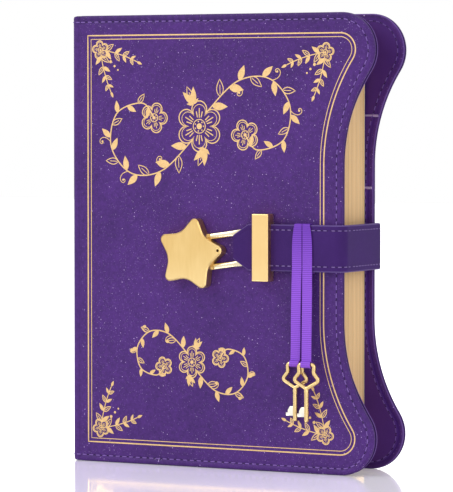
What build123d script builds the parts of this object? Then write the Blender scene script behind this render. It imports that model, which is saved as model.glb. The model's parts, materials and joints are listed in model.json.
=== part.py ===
from build123d import *
import math
import os

# A diary that locks: hard covers with a wavy fore-edge, a sewn text block, a strap that wraps from the back
# cover round the fore-edge, and a star-shaped lock that drops over a stud on the front cover. Two keys hang
# from the strap on ribbons. The diary stands on its lower edges, with its front towards -Y.
# Lengths are in millimetres. Sizes are laid out from the spine's outer face (x = 0), the front cover's outer
# face (y = 0) and the lower edge (z = 0); every piece is shifted to the final origin when it is written.

# Covers
COVER_HEIGHT = 215.0
COVER_WIDTH = 161.5
WAIST_WIDTH = 145.3
BOOK_THICKNESS = 36.0
LOBE_RADIUS = 17.3
WAIST_RADIUS = 80.0
SKIN = 0.8
BOARD = 2.0
LINING = 0.4
ROLLED_EDGE = 0.7
LINING_INSET = 1.8
CORNER_REACH = 5.0
CORNER_DEPTH = 4.0
CORNER_ROUND = 2.5
CORNER_END_GAP = 0.3
HINGE_X = 2.0

# Text block
PAGE_SQUARE = 3.5
FORE_EDGE_INSET = 3.8
SECTION_COUNT = 8
FOLD_ROUND = 1.3
SPINE_LINING = 1.4
ENDPAPER = 0.25
FLYLEAF_HINGE_SETBACK = 0.2
BAND_RADIUS = 1.2
POCKET_SHEET = 0.5
POCKET_LEFT = 34.0
POCKET_INSET = 2.8
SHORT_POCKET_TOP = 133.0
TALL_POCKET_TOP = 167.0

# Strap
STRAP_WIDTH = 21.6
STRAP_THICKNESS = 2.0
STRAP_LIFT = 1.75
STRAP_CLEAR = 0.5
STRAP_HEIGHT = 105.4
STRAP_TIP_X = 89.7
STRAP_TIP_WIDTH = 10.8
STRAP_TAPER = 8.3
STRAP_FRONT_BEND = 2.0
STRAP_REAR_BEND = 0.6
STRAP_FLEX_RUN = 4.0
STRAP_BACK_LENGTH = 50.0
STRAP_EDGE_ROUND = 0.5
STRAP_END_ROUND = 6.0

# Clasp bar and the tongue plate behind the strap
BAR_X = 105.7
BAR_WIDTH = 8.6
BAR_LENGTH = 31.6
BAR_HEIGHT = 6.8
BAR_EDGE_ROUND = 0.5
TONGUE_STANDOFF = 0.4
TONGUE = 1.3
PRONG_WIDTH = 2.6
PRONG_PITCH = 14.4
RIVET_RADIUS = 1.2
RIVET_INSET = 2.4
RIVET_DEPTH = 3.0

# Star lock
LOCK_X = 67.5
LOCK_DROP = 4.0
LOCK_TILT = 8.0
STAR_HEIGHT = 5.9
STAR_POINTS = 5
STAR_TIP = 19.4
STAR_NOTCH = 11.2
STAR_TIP_ROUND = 2.5
STAR_NOTCH_ROUND = 9.0
STAR_WALL = 0.8
STAR_BEVEL = 0.6
STAR_BACK = 0.9
PIN_RADIUS = 0.75
PIN_LENGTH = 3.4
PIN_BOSS_RADIUS = 1.5
PRONG_PIN_U = 1.5
PRONG_END = 1.8
ARM_PIN_RADIUS = 11.0
BACK_PLATE_TIP = 15.6
BACK_PLATE_NOTCH = 10.4

# Stud on the cover, and the latch that catches its neck
STUD_RADIUS = 2.5
STUD_NECK_RADIUS = 1.7
STUD_HEAD = 1.1
STUD_CHAMFER = 0.4
STUD_SHANK_RADIUS = 1.5
STUD_HOLE_CLEAR = 0.5
WASHER_RADIUS = 4.5
WASHER = 0.5
LATCH = 0.8
LATCH_WIDTH = 9.0
LATCH_LEFT = 5.8
LATCH_RIGHT = 8.7
LATCH_ROUND = 1.0
LATCH_TRAVEL = 2.2
LATCH_SLOT_CLEAR = 0.2
SPRING = 0.3
SPRING_WIDTH = 2.6
SPRING_SPAN = 9.6
SPRING_U = 3.6
GUIDE_RADIUS = 1.7
GUIDE_LENGTH = 3.7
GUIDE_PROUD = 0.3

# Ribbons and keys
RIBBON_WIDTH = 5.0
RIBBON = 0.45
RIBBON_TAIL = 0.7
RIBBON_PITCH = 5.4
RIBBON_X = 126.6
RIBBON_ROUND = 0.7
CROSSBAR_HEIGHT = 51.5
KEY_WIRE_RADIUS = 0.95
KEY_STEM_RADIUS = 1.1
KEY_STEM_LENGTH = 15.7
KEY_BOW_HEIGHT = 11.3
KEY_BOW_WIDTH = 15.2
KEY_BOW_TOP_WIDTH = 8.0
KEY_SHOULDER = 3.8
KEY_BIT = 1.3
KEY_BIT_REACH = 4.6
KEY_BIT_HEIGHT = 4.5
KEY_BIT_FOOT = 2.5
KEY_BIT_TAPER = 2.0
KEY_BIT_NOTCH = 1.0
LEFT_KEY_STANDOFF = 1.95
RIGHT_KEY_STANDOFF = 5.0
LEFT_KEY_DRIFT = 2.0

# Clearances
SEAT = 0.05
SLIP = 0.1
LEAF_GAP = 0.2
SOFT_GAP = 0.3

# Depths behind the front cover's face
cover_depth = SKIN + BOARD + LINING
board_depth = SKIN + BOARD
back_inside = BOOK_THICKNESS - cover_depth
hinge_y = cover_depth / 2
flyleaf_front = cover_depth + LEAF_GAP
flyleaf_rear = flyleaf_front + ENDPAPER
block_front = flyleaf_rear + LEAF_GAP
tall_pocket_front = back_inside - POCKET_SHEET
short_pocket_front = tall_pocket_front - POCKET_SHEET
endpaper_rear = short_pocket_front - SLIP
block_rear = endpaper_rear - ENDPAPER - SEAT
section_depth = (block_rear - block_front) / SECTION_COUNT

# Places across and up the cover
block_left = SKIN + BOARD + SPINE_LINING
block_right = WAIST_WIDTH - FORE_EDGE_INSET
block_top = COVER_HEIGHT - PAGE_SQUARE
strap_low = STRAP_HEIGHT - STRAP_WIDTH / 2
strap_high = STRAP_HEIGHT + STRAP_WIDTH / 2
strap_inner_x = WAIST_WIDTH + STRAP_CLEAR
strap_outer_x = strap_inner_x + STRAP_THICKNESS
front_bend = (strap_inner_x - STRAP_FRONT_BEND, STRAP_FRONT_BEND - STRAP_LIFT)
rear_bend = (strap_inner_x - STRAP_REAR_BEND, BOOK_THICKNESS - STRAP_REAR_BEND)
strap_front_right = front_bend[0] - STRAP_FLEX_RUN
bar_low = STRAP_HEIGHT - BAR_LENGTH / 2
bar_high = STRAP_HEIGHT + BAR_LENGTH / 2
lock_z = STRAP_HEIGHT - LOCK_DROP

# Heights above the front cover's face
strap_top = STRAP_LIFT + STRAP_THICKNESS
tongue_top = TONGUE_STANDOFF + TONGUE
star_floor = TONGUE_STANDOFF + STAR_BACK
star_ceiling = STAR_HEIGHT - STAR_WALL
latch_low = star_floor + SEAT
latch_high = latch_low + LATCH
neck_low = latch_low - SLIP
neck_high = latch_high + SLIP
stud_top = neck_high + STUD_HEAD
guide_height = (star_floor + star_ceiling) / 2
loop_inside = (STRAP_LIFT - SOFT_GAP, strap_top + SOFT_GAP)
tail_height = loop_inside[1] + RIBBON / 2

# Heights of the ribbons' swing line and the tails' upper ends
loop_low = strap_low - SOFT_GAP - RIBBON
tail_top = loop_low - SOFT_GAP
ribbon_pivot_z = (loop_low + tail_top) / 2
eye_inside = KEY_WIRE_RADIUS + SOFT_GAP
eye_outside = eye_inside + RIBBON

# The lock's own frame: u along the tilted arm, v across it, heights above the front cover
tilt = math.radians(LOCK_TILT)
arm_step = 2 * math.pi / STAR_POINTS
prong_lines = (-PRONG_PITCH / 2, PRONG_PITCH / 2)
prong_right = (BAR_X - LOCK_X) / math.cos(tilt)
left_arms = [side * arm_step * (STAR_POINTS // 2) for side in (1, -1)]
prong_pins = [(PRONG_PIN_U, v) for v in prong_lines]
arm_pins = [(ARM_PIN_RADIUS * math.cos(a), ARM_PIN_RADIUS * math.sin(a)) for a in left_arms]
flank = math.atan2(
    STAR_NOTCH * math.sin(arm_step / 2),
    STAR_TIP - STAR_NOTCH * math.cos(arm_step / 2),
)
notch_reach = STAR_NOTCH + STAR_NOTCH_ROUND * (1 / math.sin(flank + arm_step / 2) - 1)

FRONT = Plane.XZ
LOCK = Plane((LOCK_X, 0, lock_z), x_dir=(math.cos(tilt), 0, math.sin(tilt)), z_dir=(0, -1, 0))
ORIGIN = Location((-COVER_WIDTH / 2, (BAR_HEIGHT - BOOK_THICKNESS - STRAP_THICKNESS) / 2, 0))
CORNER = (Align.MIN, Align.MIN, Align.MIN)
STANDING = (Align.CENTER, Align.CENTER, Align.MIN)


def save(name, shape):
    """Writes one piece to its file, moved to the final origin."""
    export_step(ORIGIN * shape, f"parts/{name}.step")


def sheet(face, front, rear):
    """A flat sheet of this outline between two depths behind the front cover's face."""
    return FRONT.offset(-rear) * extrude(face, rear - front)


def raised(face, low, high):
    """A slab of this outline between two heights above the front cover's face."""
    return FRONT.offset(low) * extrude(face, high - low)


def on_lock(face, low, high):
    """A slab in the lock's tilted frame, between two heights above the front cover's face."""
    return LOCK.offset(low) * extrude(face, high - low)


def rectangle(left, right, low, high):
    """A rectangle given by its sides."""
    return Pos((left + right) / 2, (low + high) / 2) * Rectangle(right - left, high - low)


def disc(centre, radius):
    """A round face about a point."""
    return Pos(*centre) * Circle(radius)


def block(x, y, z):
    """A box given by its three spans."""
    size = [high - low for low, high in (x, y, z)]
    return Pos(x[0], y[0], z[0]) * Box(*size, align=CORNER)


def cover_face():
    """A cover's outline: a straight joint edge, and a fore-edge that waves in from a lobe to the waist."""
    lobe_x = COVER_WIDTH - LOBE_RADIUS
    lobe_z = COVER_HEIGHT - LOBE_RADIUS
    waist_x = WAIST_WIDTH + WAIST_RADIUS
    slope = math.acos((waist_x - lobe_x) / (WAIST_RADIUS + LOBE_RADIUS))
    waist_z = lobe_z - (WAIST_RADIUS + LOBE_RADIUS) * math.sin(slope)

    def half(mirror):
        def place(x, z):
            return (x, COVER_HEIGHT - z) if mirror else (x, z)

        def on_lobe(angle):
            return place(lobe_x + LOBE_RADIUS * math.cos(angle), lobe_z + LOBE_RADIUS * math.sin(angle))

        def on_waist(angle):
            return place(waist_x - WAIST_RADIUS * math.cos(angle), waist_z + WAIST_RADIUS * math.sin(angle))

        top = math.pi / 2
        edge = Line(place(CORNER_REACH, COVER_HEIGHT), on_lobe(top))
        lobe = ThreePointArc(on_lobe(top), on_lobe((top - slope) / 2), on_lobe(-slope))
        sweep_in = ThreePointArc(on_waist(slope), on_waist(slope / 2), on_waist(0))
        return [edge, lobe, sweep_in]

    waist = Line((WAIST_WIDTH, waist_z), (WAIST_WIDTH, COVER_HEIGHT - waist_z))
    joint = Line((CORNER_REACH, 0), (CORNER_REACH, COVER_HEIGHT))
    return make_face([*half(False), waist, *half(True), joint])


def cover_tray(outer, inner):
    """A cover's skin: a sheet over the outside, rolled round every edge but the joint and turned in."""
    outline = cover_face()
    slab = sheet(outline, min(outer, inner), max(outer, inner))
    face = slab.faces().filter_by(Axis.Y).sort_by(lambda f: abs(f.center().Y - outer))[0]
    rim = [e for e in face.outer_wire().edges() if e.center().X > CORNER_REACH + ROLLED_EDGE]
    return chamfer(rim, ROLLED_EDGE)


def front_cover():
    """The front cover: skin, board and lining, and the stud that the lock drops over."""
    outline = cover_face()
    cavity = offset(outline, -SKIN)
    centre = (LOCK_X, lock_z)
    hole = disc(centre, STUD_SHANK_RADIUS + SEAT)
    recess = disc(centre, WASHER_RADIUS + SEAT)
    skin = cover_tray(0, board_depth) - sheet(cavity, SKIN, board_depth)
    save("front_cover_skin", skin - sheet(hole, 0, SKIN))
    board = sheet(cavity, SKIN, board_depth) - sheet(hole, SKIN, board_depth)
    save("front_cover_board", board - sheet(recess, board_depth - WASHER, board_depth))
    save("front_cover_lining", sheet(offset(outline, -LINING_INSET), board_depth, cover_depth))

    stud = sheet(disc(centre, STUD_SHANK_RADIUS), 0, board_depth)
    stud += raised(disc(centre, STUD_RADIUS), 0, neck_low)
    stud += raised(disc(centre, STUD_NECK_RADIUS), neck_low, neck_high)
    head = raised(disc(centre, STUD_RADIUS), neck_high, stud_top)
    stud += chamfer(head.edges().sort_by(Axis.Y)[0], STUD_CHAMFER)
    save("keeper_stud", stud)
    washer = disc(centre, WASHER_RADIUS) - hole
    save("stud_washer", sheet(washer, board_depth - WASHER, board_depth))


def back_cover():
    """The back cover: skin, board and lining, and the two stepped card pockets inside it."""
    outline = cover_face()
    cavity = offset(outline, -SKIN)
    board_front = BOOK_THICKNESS - board_depth
    board_rear = BOOK_THICKNESS - SKIN
    save("back_cover_skin", cover_tray(BOOK_THICKNESS, board_front) - sheet(cavity, board_front, board_rear))
    save("back_cover_board", sheet(cavity, board_front, board_rear))
    save("back_cover_lining", sheet(offset(outline, -LINING_INSET), back_inside, board_front))
    inside = offset(outline, -POCKET_INSET)
    tall = inside & rectangle(POCKET_LEFT, COVER_WIDTH, 0, TALL_POCKET_TOP)
    short = inside & rectangle(POCKET_LEFT, COVER_WIDTH, 0, SHORT_POCKET_TOP)
    save("card_pocket_tall", sheet(tall, tall_pocket_front, back_inside))
    save("card_pocket_short", sheet(short, short_pocket_front, tall_pocket_front))


def corner_strip(near_front):
    """The skin where it turns from the spine to a cover: the strip that folds when the cover opens."""
    profile = rectangle(0, CORNER_REACH, 0, CORNER_DEPTH)
    profile = fillet(profile.vertices().sort_by(lambda v: v.X + v.Y)[0], CORNER_ROUND)
    hollow = rectangle(SKIN, CORNER_REACH, SKIN, CORNER_DEPTH)
    hollow = fillet(hollow.vertices().sort_by(lambda v: v.X + v.Y)[0], CORNER_ROUND - SKIN)
    strip = extrude(profile - hollow, COVER_HEIGHT - 2 * CORNER_END_GAP)
    strip = Pos(0, 0, CORNER_END_GAP) * strip
    return strip if near_front else Pos(0, BOOK_THICKNESS, 0) * mirror(strip, Plane.XZ)


def spine():
    """The flat spine: its skin turned over the board, the lining glued to the folds, and the two corners."""
    across = (CORNER_DEPTH, BOOK_THICKNESS - CORNER_DEPTH)
    inside = (SKIN, COVER_HEIGHT - SKIN)
    board = block((SKIN, board_depth), across, inside)
    save("spine_skin", block((0, board_depth), across, (0, COVER_HEIGHT)) - board)
    save("spine_board", board)
    save("spine_lining", block((board_depth, block_left), across, (PAGE_SQUARE, block_top)))
    save("front_hinge", corner_strip(True))
    save("back_hinge", corner_strip(False))


def text_block():
    """The folded sections, the endpapers at either side, and the bands at head and tail."""
    leaf = rectangle(block_left, block_right, PAGE_SQUARE, block_top)
    for number in range(SECTION_COUNT):
        front = block_front + number * section_depth
        section = sheet(leaf, front, front + section_depth)
        folds = section.edges().filter_by(Axis.Z).group_by(Axis.X)[0]
        save(f"section_{number + 1}", fillet(folds, FOLD_ROUND))
    save("flyleaf", sheet(leaf, flyleaf_front, flyleaf_rear))
    save("back_endpaper", sheet(leaf, endpaper_rear - ENDPAPER, endpaper_rear))
    band_x = block_left + BAND_RADIUS
    roll = disc((band_x, 0), BAND_RADIUS)
    upper = roll & rectangle(block_left, band_x + BAND_RADIUS, 0, BAND_RADIUS)
    lower = roll & rectangle(block_left, band_x + BAND_RADIUS, -BAND_RADIUS, 0)
    save("headband", sheet(Pos(0, block_top) * upper, block_front, block_rear))
    save("tailband", sheet(Pos(0, PAGE_SQUARE) * lower, block_front, block_rear))


def quarter_bend(centre, radius, toward):
    """The profile, seen from above, of a strap turning a corner: front corners open toward -1, rear ones +1."""
    outer = radius + STRAP_THICKNESS
    ring = Circle(outer) - Circle(radius)
    return Pos(*centre) * (ring & rectangle(0, outer, min(0, toward * outer), max(0, toward * outer)))


def strap():
    """The strap: sewn to the back cover, round the fore-edge and across the front to a tapered tip."""
    back = rectangle(rear_bend[0] - STRAP_BACK_LENGTH, rear_bend[0], strap_low, strap_high)
    back = fillet(back.vertices().group_by(Axis.X)[0], STRAP_END_ROUND)
    save("strap_back", sheet(back, BOOK_THICKNESS, BOOK_THICKNESS + STRAP_THICKNESS))

    side_front = front_bend[1] + STRAP_FLEX_RUN
    side = rectangle(strap_inner_x, strap_outer_x, side_front, rear_bend[1])
    side += quarter_bend(rear_bend, STRAP_REAR_BEND, 1)
    save("strap_side", Pos(0, 0, strap_low) * extrude(side, STRAP_WIDTH))

    bend = quarter_bend(front_bend, STRAP_FRONT_BEND, -1)
    bend += rectangle(strap_front_right, front_bend[0], -strap_top, -STRAP_LIFT)
    bend += rectangle(strap_inner_x, strap_outer_x, front_bend[1], side_front)
    save("strap_bend", Pos(0, 0, strap_low) * extrude(bend, STRAP_WIDTH))

    shoulder = STRAP_TIP_X + STRAP_TAPER
    tip = STRAP_TIP_WIDTH / 2
    outline = Polyline(
        (strap_front_right, strap_low),
        (strap_front_right, strap_high),
        (shoulder, strap_high),
        (STRAP_TIP_X, STRAP_HEIGHT + tip),
        (STRAP_TIP_X, STRAP_HEIGHT - tip),
        (shoulder, strap_low),
        close=True,
    )
    front = raised(make_face(outline), STRAP_LIFT, strap_top)
    upper = front.faces().sort_by(Axis.Y)[0].outer_wire().edges()
    rim = [e for e in upper if e.center().X < strap_front_right - STRAP_EDGE_ROUND]
    save("strap_front", fillet(rim, STRAP_EDGE_ROUND))


def prongs(margin):
    """The tongue's two prongs in the lock's frame, grown by a margin."""
    half = PRONG_WIDTH / 2 + margin
    left = PRONG_PIN_U - PRONG_END - margin
    return [rectangle(left, prong_right, v - half, v + half) for v in prong_lines]


def pin_hole(centre):
    """The hole for one of the lock's pins, from the lock's back up into the shell's boss."""
    return on_lock(disc(centre, PIN_RADIUS + SEAT), TONGUE_STANDOFF, TONGUE_STANDOFF + PIN_LENGTH + SEAT)


def clasp():
    """The bar across the strap, the tongue plate behind it, and the rivets that clamp the strap between."""
    outline = rectangle(BAR_X - BAR_WIDTH / 2, BAR_X + BAR_WIDTH / 2, bar_low, bar_high)
    centres = [(BAR_X, bar_low + RIVET_INSET), (BAR_X, bar_high - RIVET_INSET)]
    rivet_top = tongue_top + RIVET_DEPTH
    rivets = [raised(disc(c, RIVET_RADIUS), TONGUE_STANDOFF, rivet_top) for c in centres]
    holes = [raised(disc(c, RIVET_RADIUS + SEAT), TONGUE_STANDOFF, rivet_top + SEAT) for c in centres]
    bar = raised(outline, tongue_top, BAR_HEIGHT)
    bar = fillet(bar.faces().sort_by(Axis.Y)[0].outer_wire().edges(), BAR_EDGE_ROUND)
    passage = rectangle(BAR_X - BAR_WIDTH, BAR_X + BAR_WIDTH, strap_low - SLIP, strap_high + SLIP)
    bar -= raised(passage, tongue_top, strap_top + SEAT)
    tongue = raised(outline, TONGUE_STANDOFF, tongue_top)
    for prong in prongs(0):
        tongue += on_lock(prong, TONGUE_STANDOFF, tongue_top)
    for centre in prong_pins:
        tongue -= pin_hole(centre)
    for hole in holes:
        bar -= hole
        tongue -= hole
    save("clasp_bar", bar)
    save("tongue_plate", tongue)
    save("bar_rivets", Compound(rivets))


def star_polygon(tip, notch):
    """A star with straight flanks, one arm along the lock's axis."""
    radii = [tip, notch] * STAR_POINTS
    half_step = arm_step / 2
    points = [(r * math.cos(n * half_step), r * math.sin(n * half_step)) for n, r in enumerate(radii)]
    return make_face(Polyline(*points, close=True))


def star_face():
    """The lock's outline: a star with round tips and hollow flanks."""
    star = star_polygon(STAR_TIP, STAR_NOTCH)
    middle = (STAR_TIP + STAR_NOTCH) / 2
    star = fillet([v for v in star.vertices() if math.hypot(v.X, v.Y) < middle], STAR_NOTCH_ROUND)
    return fillet([v for v in star.vertices() if math.hypot(v.X, v.Y) > STAR_TIP - SEAT], STAR_TIP_ROUND)


def star_lock():
    """The star: a shell, the plate that closes its back, its pins, the key's guide and the latch."""
    star = star_face()
    inside = star_polygon(BACK_PLATE_TIP, BACK_PLATE_NOTCH)
    slots = prongs(SEAT)
    guide_right = GUIDE_LENGTH - GUIDE_PROUD - notch_reach
    bit = rectangle(-STAR_TIP, guide_right, 0, KEY_BIT_REACH + SLIP)
    bit_slot = on_lock(bit, guide_height - KEY_BIT / 2 - SLIP, guide_height + KEY_BIT / 2 + SLIP)
    mouth = Plane(
        LOCK.from_local_coords((-notch_reach - GUIDE_PROUD, 0, guide_height)),
        x_dir=LOCK.y_dir,
        z_dir=LOCK.x_dir,
    )

    shell = on_lock(star, TONGUE_STANDOFF, STAR_HEIGHT)
    shell = chamfer(shell.faces().sort_by(Axis.Y)[0].outer_wire().edges(), STAR_BEVEL)
    shell -= on_lock(inside, TONGUE_STANDOFF, star_ceiling)
    pins = []
    for centre, seat in [(c, tongue_top) for c in prong_pins] + [(c, star_floor) for c in arm_pins]:
        shell += on_lock(disc(centre, PIN_BOSS_RADIUS), seat, star_ceiling)
        shell -= pin_hole(centre)
        pins.append(on_lock(disc(centre, PIN_RADIUS), TONGUE_STANDOFF, TONGUE_STANDOFF + PIN_LENGTH))
    for slot in slots:
        shell -= on_lock(slot, TONGUE_STANDOFF, tongue_top)
    shell -= mouth * Cylinder(GUIDE_RADIUS + SEAT, GUIDE_LENGTH, align=STANDING)
    save("star_shell", shell - bit_slot)
    save("star_pins", Compound(pins))

    plate = offset(inside, -SEAT, kind=Kind.INTERSECTION) - disc((0, 0), STUD_RADIUS + STUD_HOLE_CLEAR)
    for slot in slots:
        plate -= slot
    back = on_lock(plate, TONGUE_STANDOFF, star_floor)
    for centre in arm_pins:
        back -= pin_hole(centre)
    save("star_back_plate", back)

    tube = Cylinder(GUIDE_RADIUS, GUIDE_LENGTH, align=STANDING)
    tube -= Cylinder(KEY_STEM_RADIUS + SLIP, GUIDE_LENGTH, align=STANDING)
    save("key_guide", mouth * tube - bit_slot)

    neck = STUD_NECK_RADIUS + LATCH_SLOT_CLEAR
    latch = rectangle(-LATCH_LEFT, LATCH_RIGHT, -LATCH_WIDTH / 2, LATCH_WIDTH / 2)
    latch = fillet(latch.vertices(), LATCH_ROUND)
    latch -= disc((0, 0), STUD_RADIUS + STUD_HOLE_CLEAR)
    latch -= disc((LATCH_TRAVEL, 0), neck)
    latch -= rectangle(0, LATCH_TRAVEL, -neck, neck)
    save("latch_plate", on_lock(latch, latch_low, latch_high))

    rise = star_ceiling - latch_high - 2 * SEAT
    half = SPRING_SPAN / 2
    lower = ThreePointArc((-half, rise - SPRING), (0, 0), (half, rise - SPRING))
    upper = ThreePointArc((-half, rise), (0, SPRING), (half, rise))
    ends = [Line((v, rise - SPRING), (v, rise)) for v in (-half, half)]
    across = Plane(
        LOCK.from_local_coords((SPRING_U, 0, latch_high + SEAT)),
        x_dir=LOCK.y_dir,
        z_dir=LOCK.x_dir,
    )
    save("latch_spring", across * extrude(make_face([lower, upper, *ends]), SPRING_WIDTH))


def upright(profile, left, right):
    """A solid between two x, of a profile drawn as height above the front cover and height from the floor."""
    return Plane((left, 0, 0), x_dir=(0, -1, 0), z_dir=(-1, 0, 0)) * extrude(profile, left - right)


def key(x, standoff):
    """A small wire key: a forked bow closed by a crossbar, a round stem and a flag-shaped bit."""
    joint_z = CROSSBAR_HEIGHT - KEY_BOW_HEIGHT
    foot_z = joint_z - KEY_STEM_LENGTH
    wide = KEY_BOW_WIDTH / 2 - KEY_WIRE_RADIUS
    top = KEY_BOW_TOP_WIDTH / 2
    shoulder_z = joint_z + KEY_SHOULDER
    corners = [
        (x, CROSSBAR_HEIGHT),
        (x + top, CROSSBAR_HEIGHT),
        (x + wide, shoulder_z),
        (x, joint_z),
        (x - wide, shoulder_z),
        (x - top, CROSSBAR_HEIGHT),
    ]
    path = FRONT.offset(standoff) * Polyline(*corners, close=True)
    wire = Plane(path @ 0, z_dir=path % 0) * Circle(KEY_WIRE_RADIUS)
    bow = sweep(wire, path=path, transition=Transition.RIGHT)
    stem = Cylinder(KEY_STEM_RADIUS, KEY_STEM_LENGTH, align=STANDING)
    stem = Pos(x, -standoff, foot_z) * stem
    bit_low = foot_z + KEY_BIT_FOOT
    bit_high = bit_low + KEY_BIT_HEIGHT
    notch_z = bit_low + KEY_BIT_HEIGHT / 3
    out = x - KEY_BIT_REACH
    bit = Polyline(
        (x, bit_low),
        (out, bit_low),
        (out, notch_z),
        (out + KEY_BIT_NOTCH, notch_z),
        (out + KEY_BIT_NOTCH, notch_z + KEY_BIT_NOTCH),
        (out + KEY_BIT_TAPER, bit_high),
        (x, bit_high),
        close=True,
    )
    return bow + stem + raised(make_face(bit), standoff - KEY_BIT / 2, standoff + KEY_BIT / 2)


def ribbons_and_keys():
    """Each ribbon: a loop round the strap, and a tail that hangs to an eye round its key's crossbar."""
    inner = rectangle(*loop_inside, strap_low - SOFT_GAP, strap_high + SOFT_GAP)
    outer = fillet(offset(inner, RIBBON, kind=Kind.INTERSECTION).vertices(), RIBBON_ROUND)
    half = RIBBON_WIDTH / 2
    cut = Rectangle(RIBBON_WIDTH, RIBBON_TAIL)
    loops = []
    for side, sign, standoff, drift in (
        ("left", -1, LEFT_KEY_STANDOFF, LEFT_KEY_DRIFT),
        ("right", 1, RIGHT_KEY_STANDOFF, 0.0),
    ):
        x = RIBBON_X + sign * RIBBON_PITCH / 2
        key_x = x - drift
        loops.append(upright(outer - inner, x - half, x + half))
        foot = Pos(key_x, -standoff, CROSSBAR_HEIGHT) * cut
        tail = loft([foot, Pos(x, -tail_height, tail_top) * cut])
        crossbar = (standoff, CROSSBAR_HEIGHT)
        tail += upright(disc(crossbar, eye_outside), key_x - half, key_x + half)
        tail -= upright(disc(crossbar, eye_inside), key_x - RIBBON_WIDTH, key_x + RIBBON_WIDTH)
        save(f"ribbon_{side}", tail)
        save(f"key_{side}", key(key_x, standoff))
    save("ribbon_loops", Compound(loops))


def print_pivots():
    """Prints the pivots of the moving pieces in the final frame."""
    pivots = {
        "cover": (HINGE_X, hinge_y, 0),
        "flyleaf": (block_left - FLYLEAF_HINGE_SETBACK, (flyleaf_front + flyleaf_rear) / 2, 0),
        "strap": (*front_bend, STRAP_HEIGHT),
        "lock": (LOCK_X, 0, lock_z),
        "latch": (LOCK_X, -latch_low, lock_z),
        "ribbons": (RIBBON_X, -tail_height, ribbon_pivot_z),
        "left key": (RIBBON_X - RIBBON_PITCH / 2 - LEFT_KEY_DRIFT, -LEFT_KEY_STANDOFF, CROSSBAR_HEIGHT),
        "right key": (RIBBON_X + RIBBON_PITCH / 2, -RIGHT_KEY_STANDOFF, CROSSBAR_HEIGHT),
    }
    for name, place in pivots.items():
        print(name, [round(v, 3) for v in (ORIGIN * Pos(*place)).position])


os.makedirs("parts", exist_ok=True)
front_cover()
back_cover()
spine()
text_block()
strap()
clasp()
star_lock()
ribbons_and_keys()
print_pivots()
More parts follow.
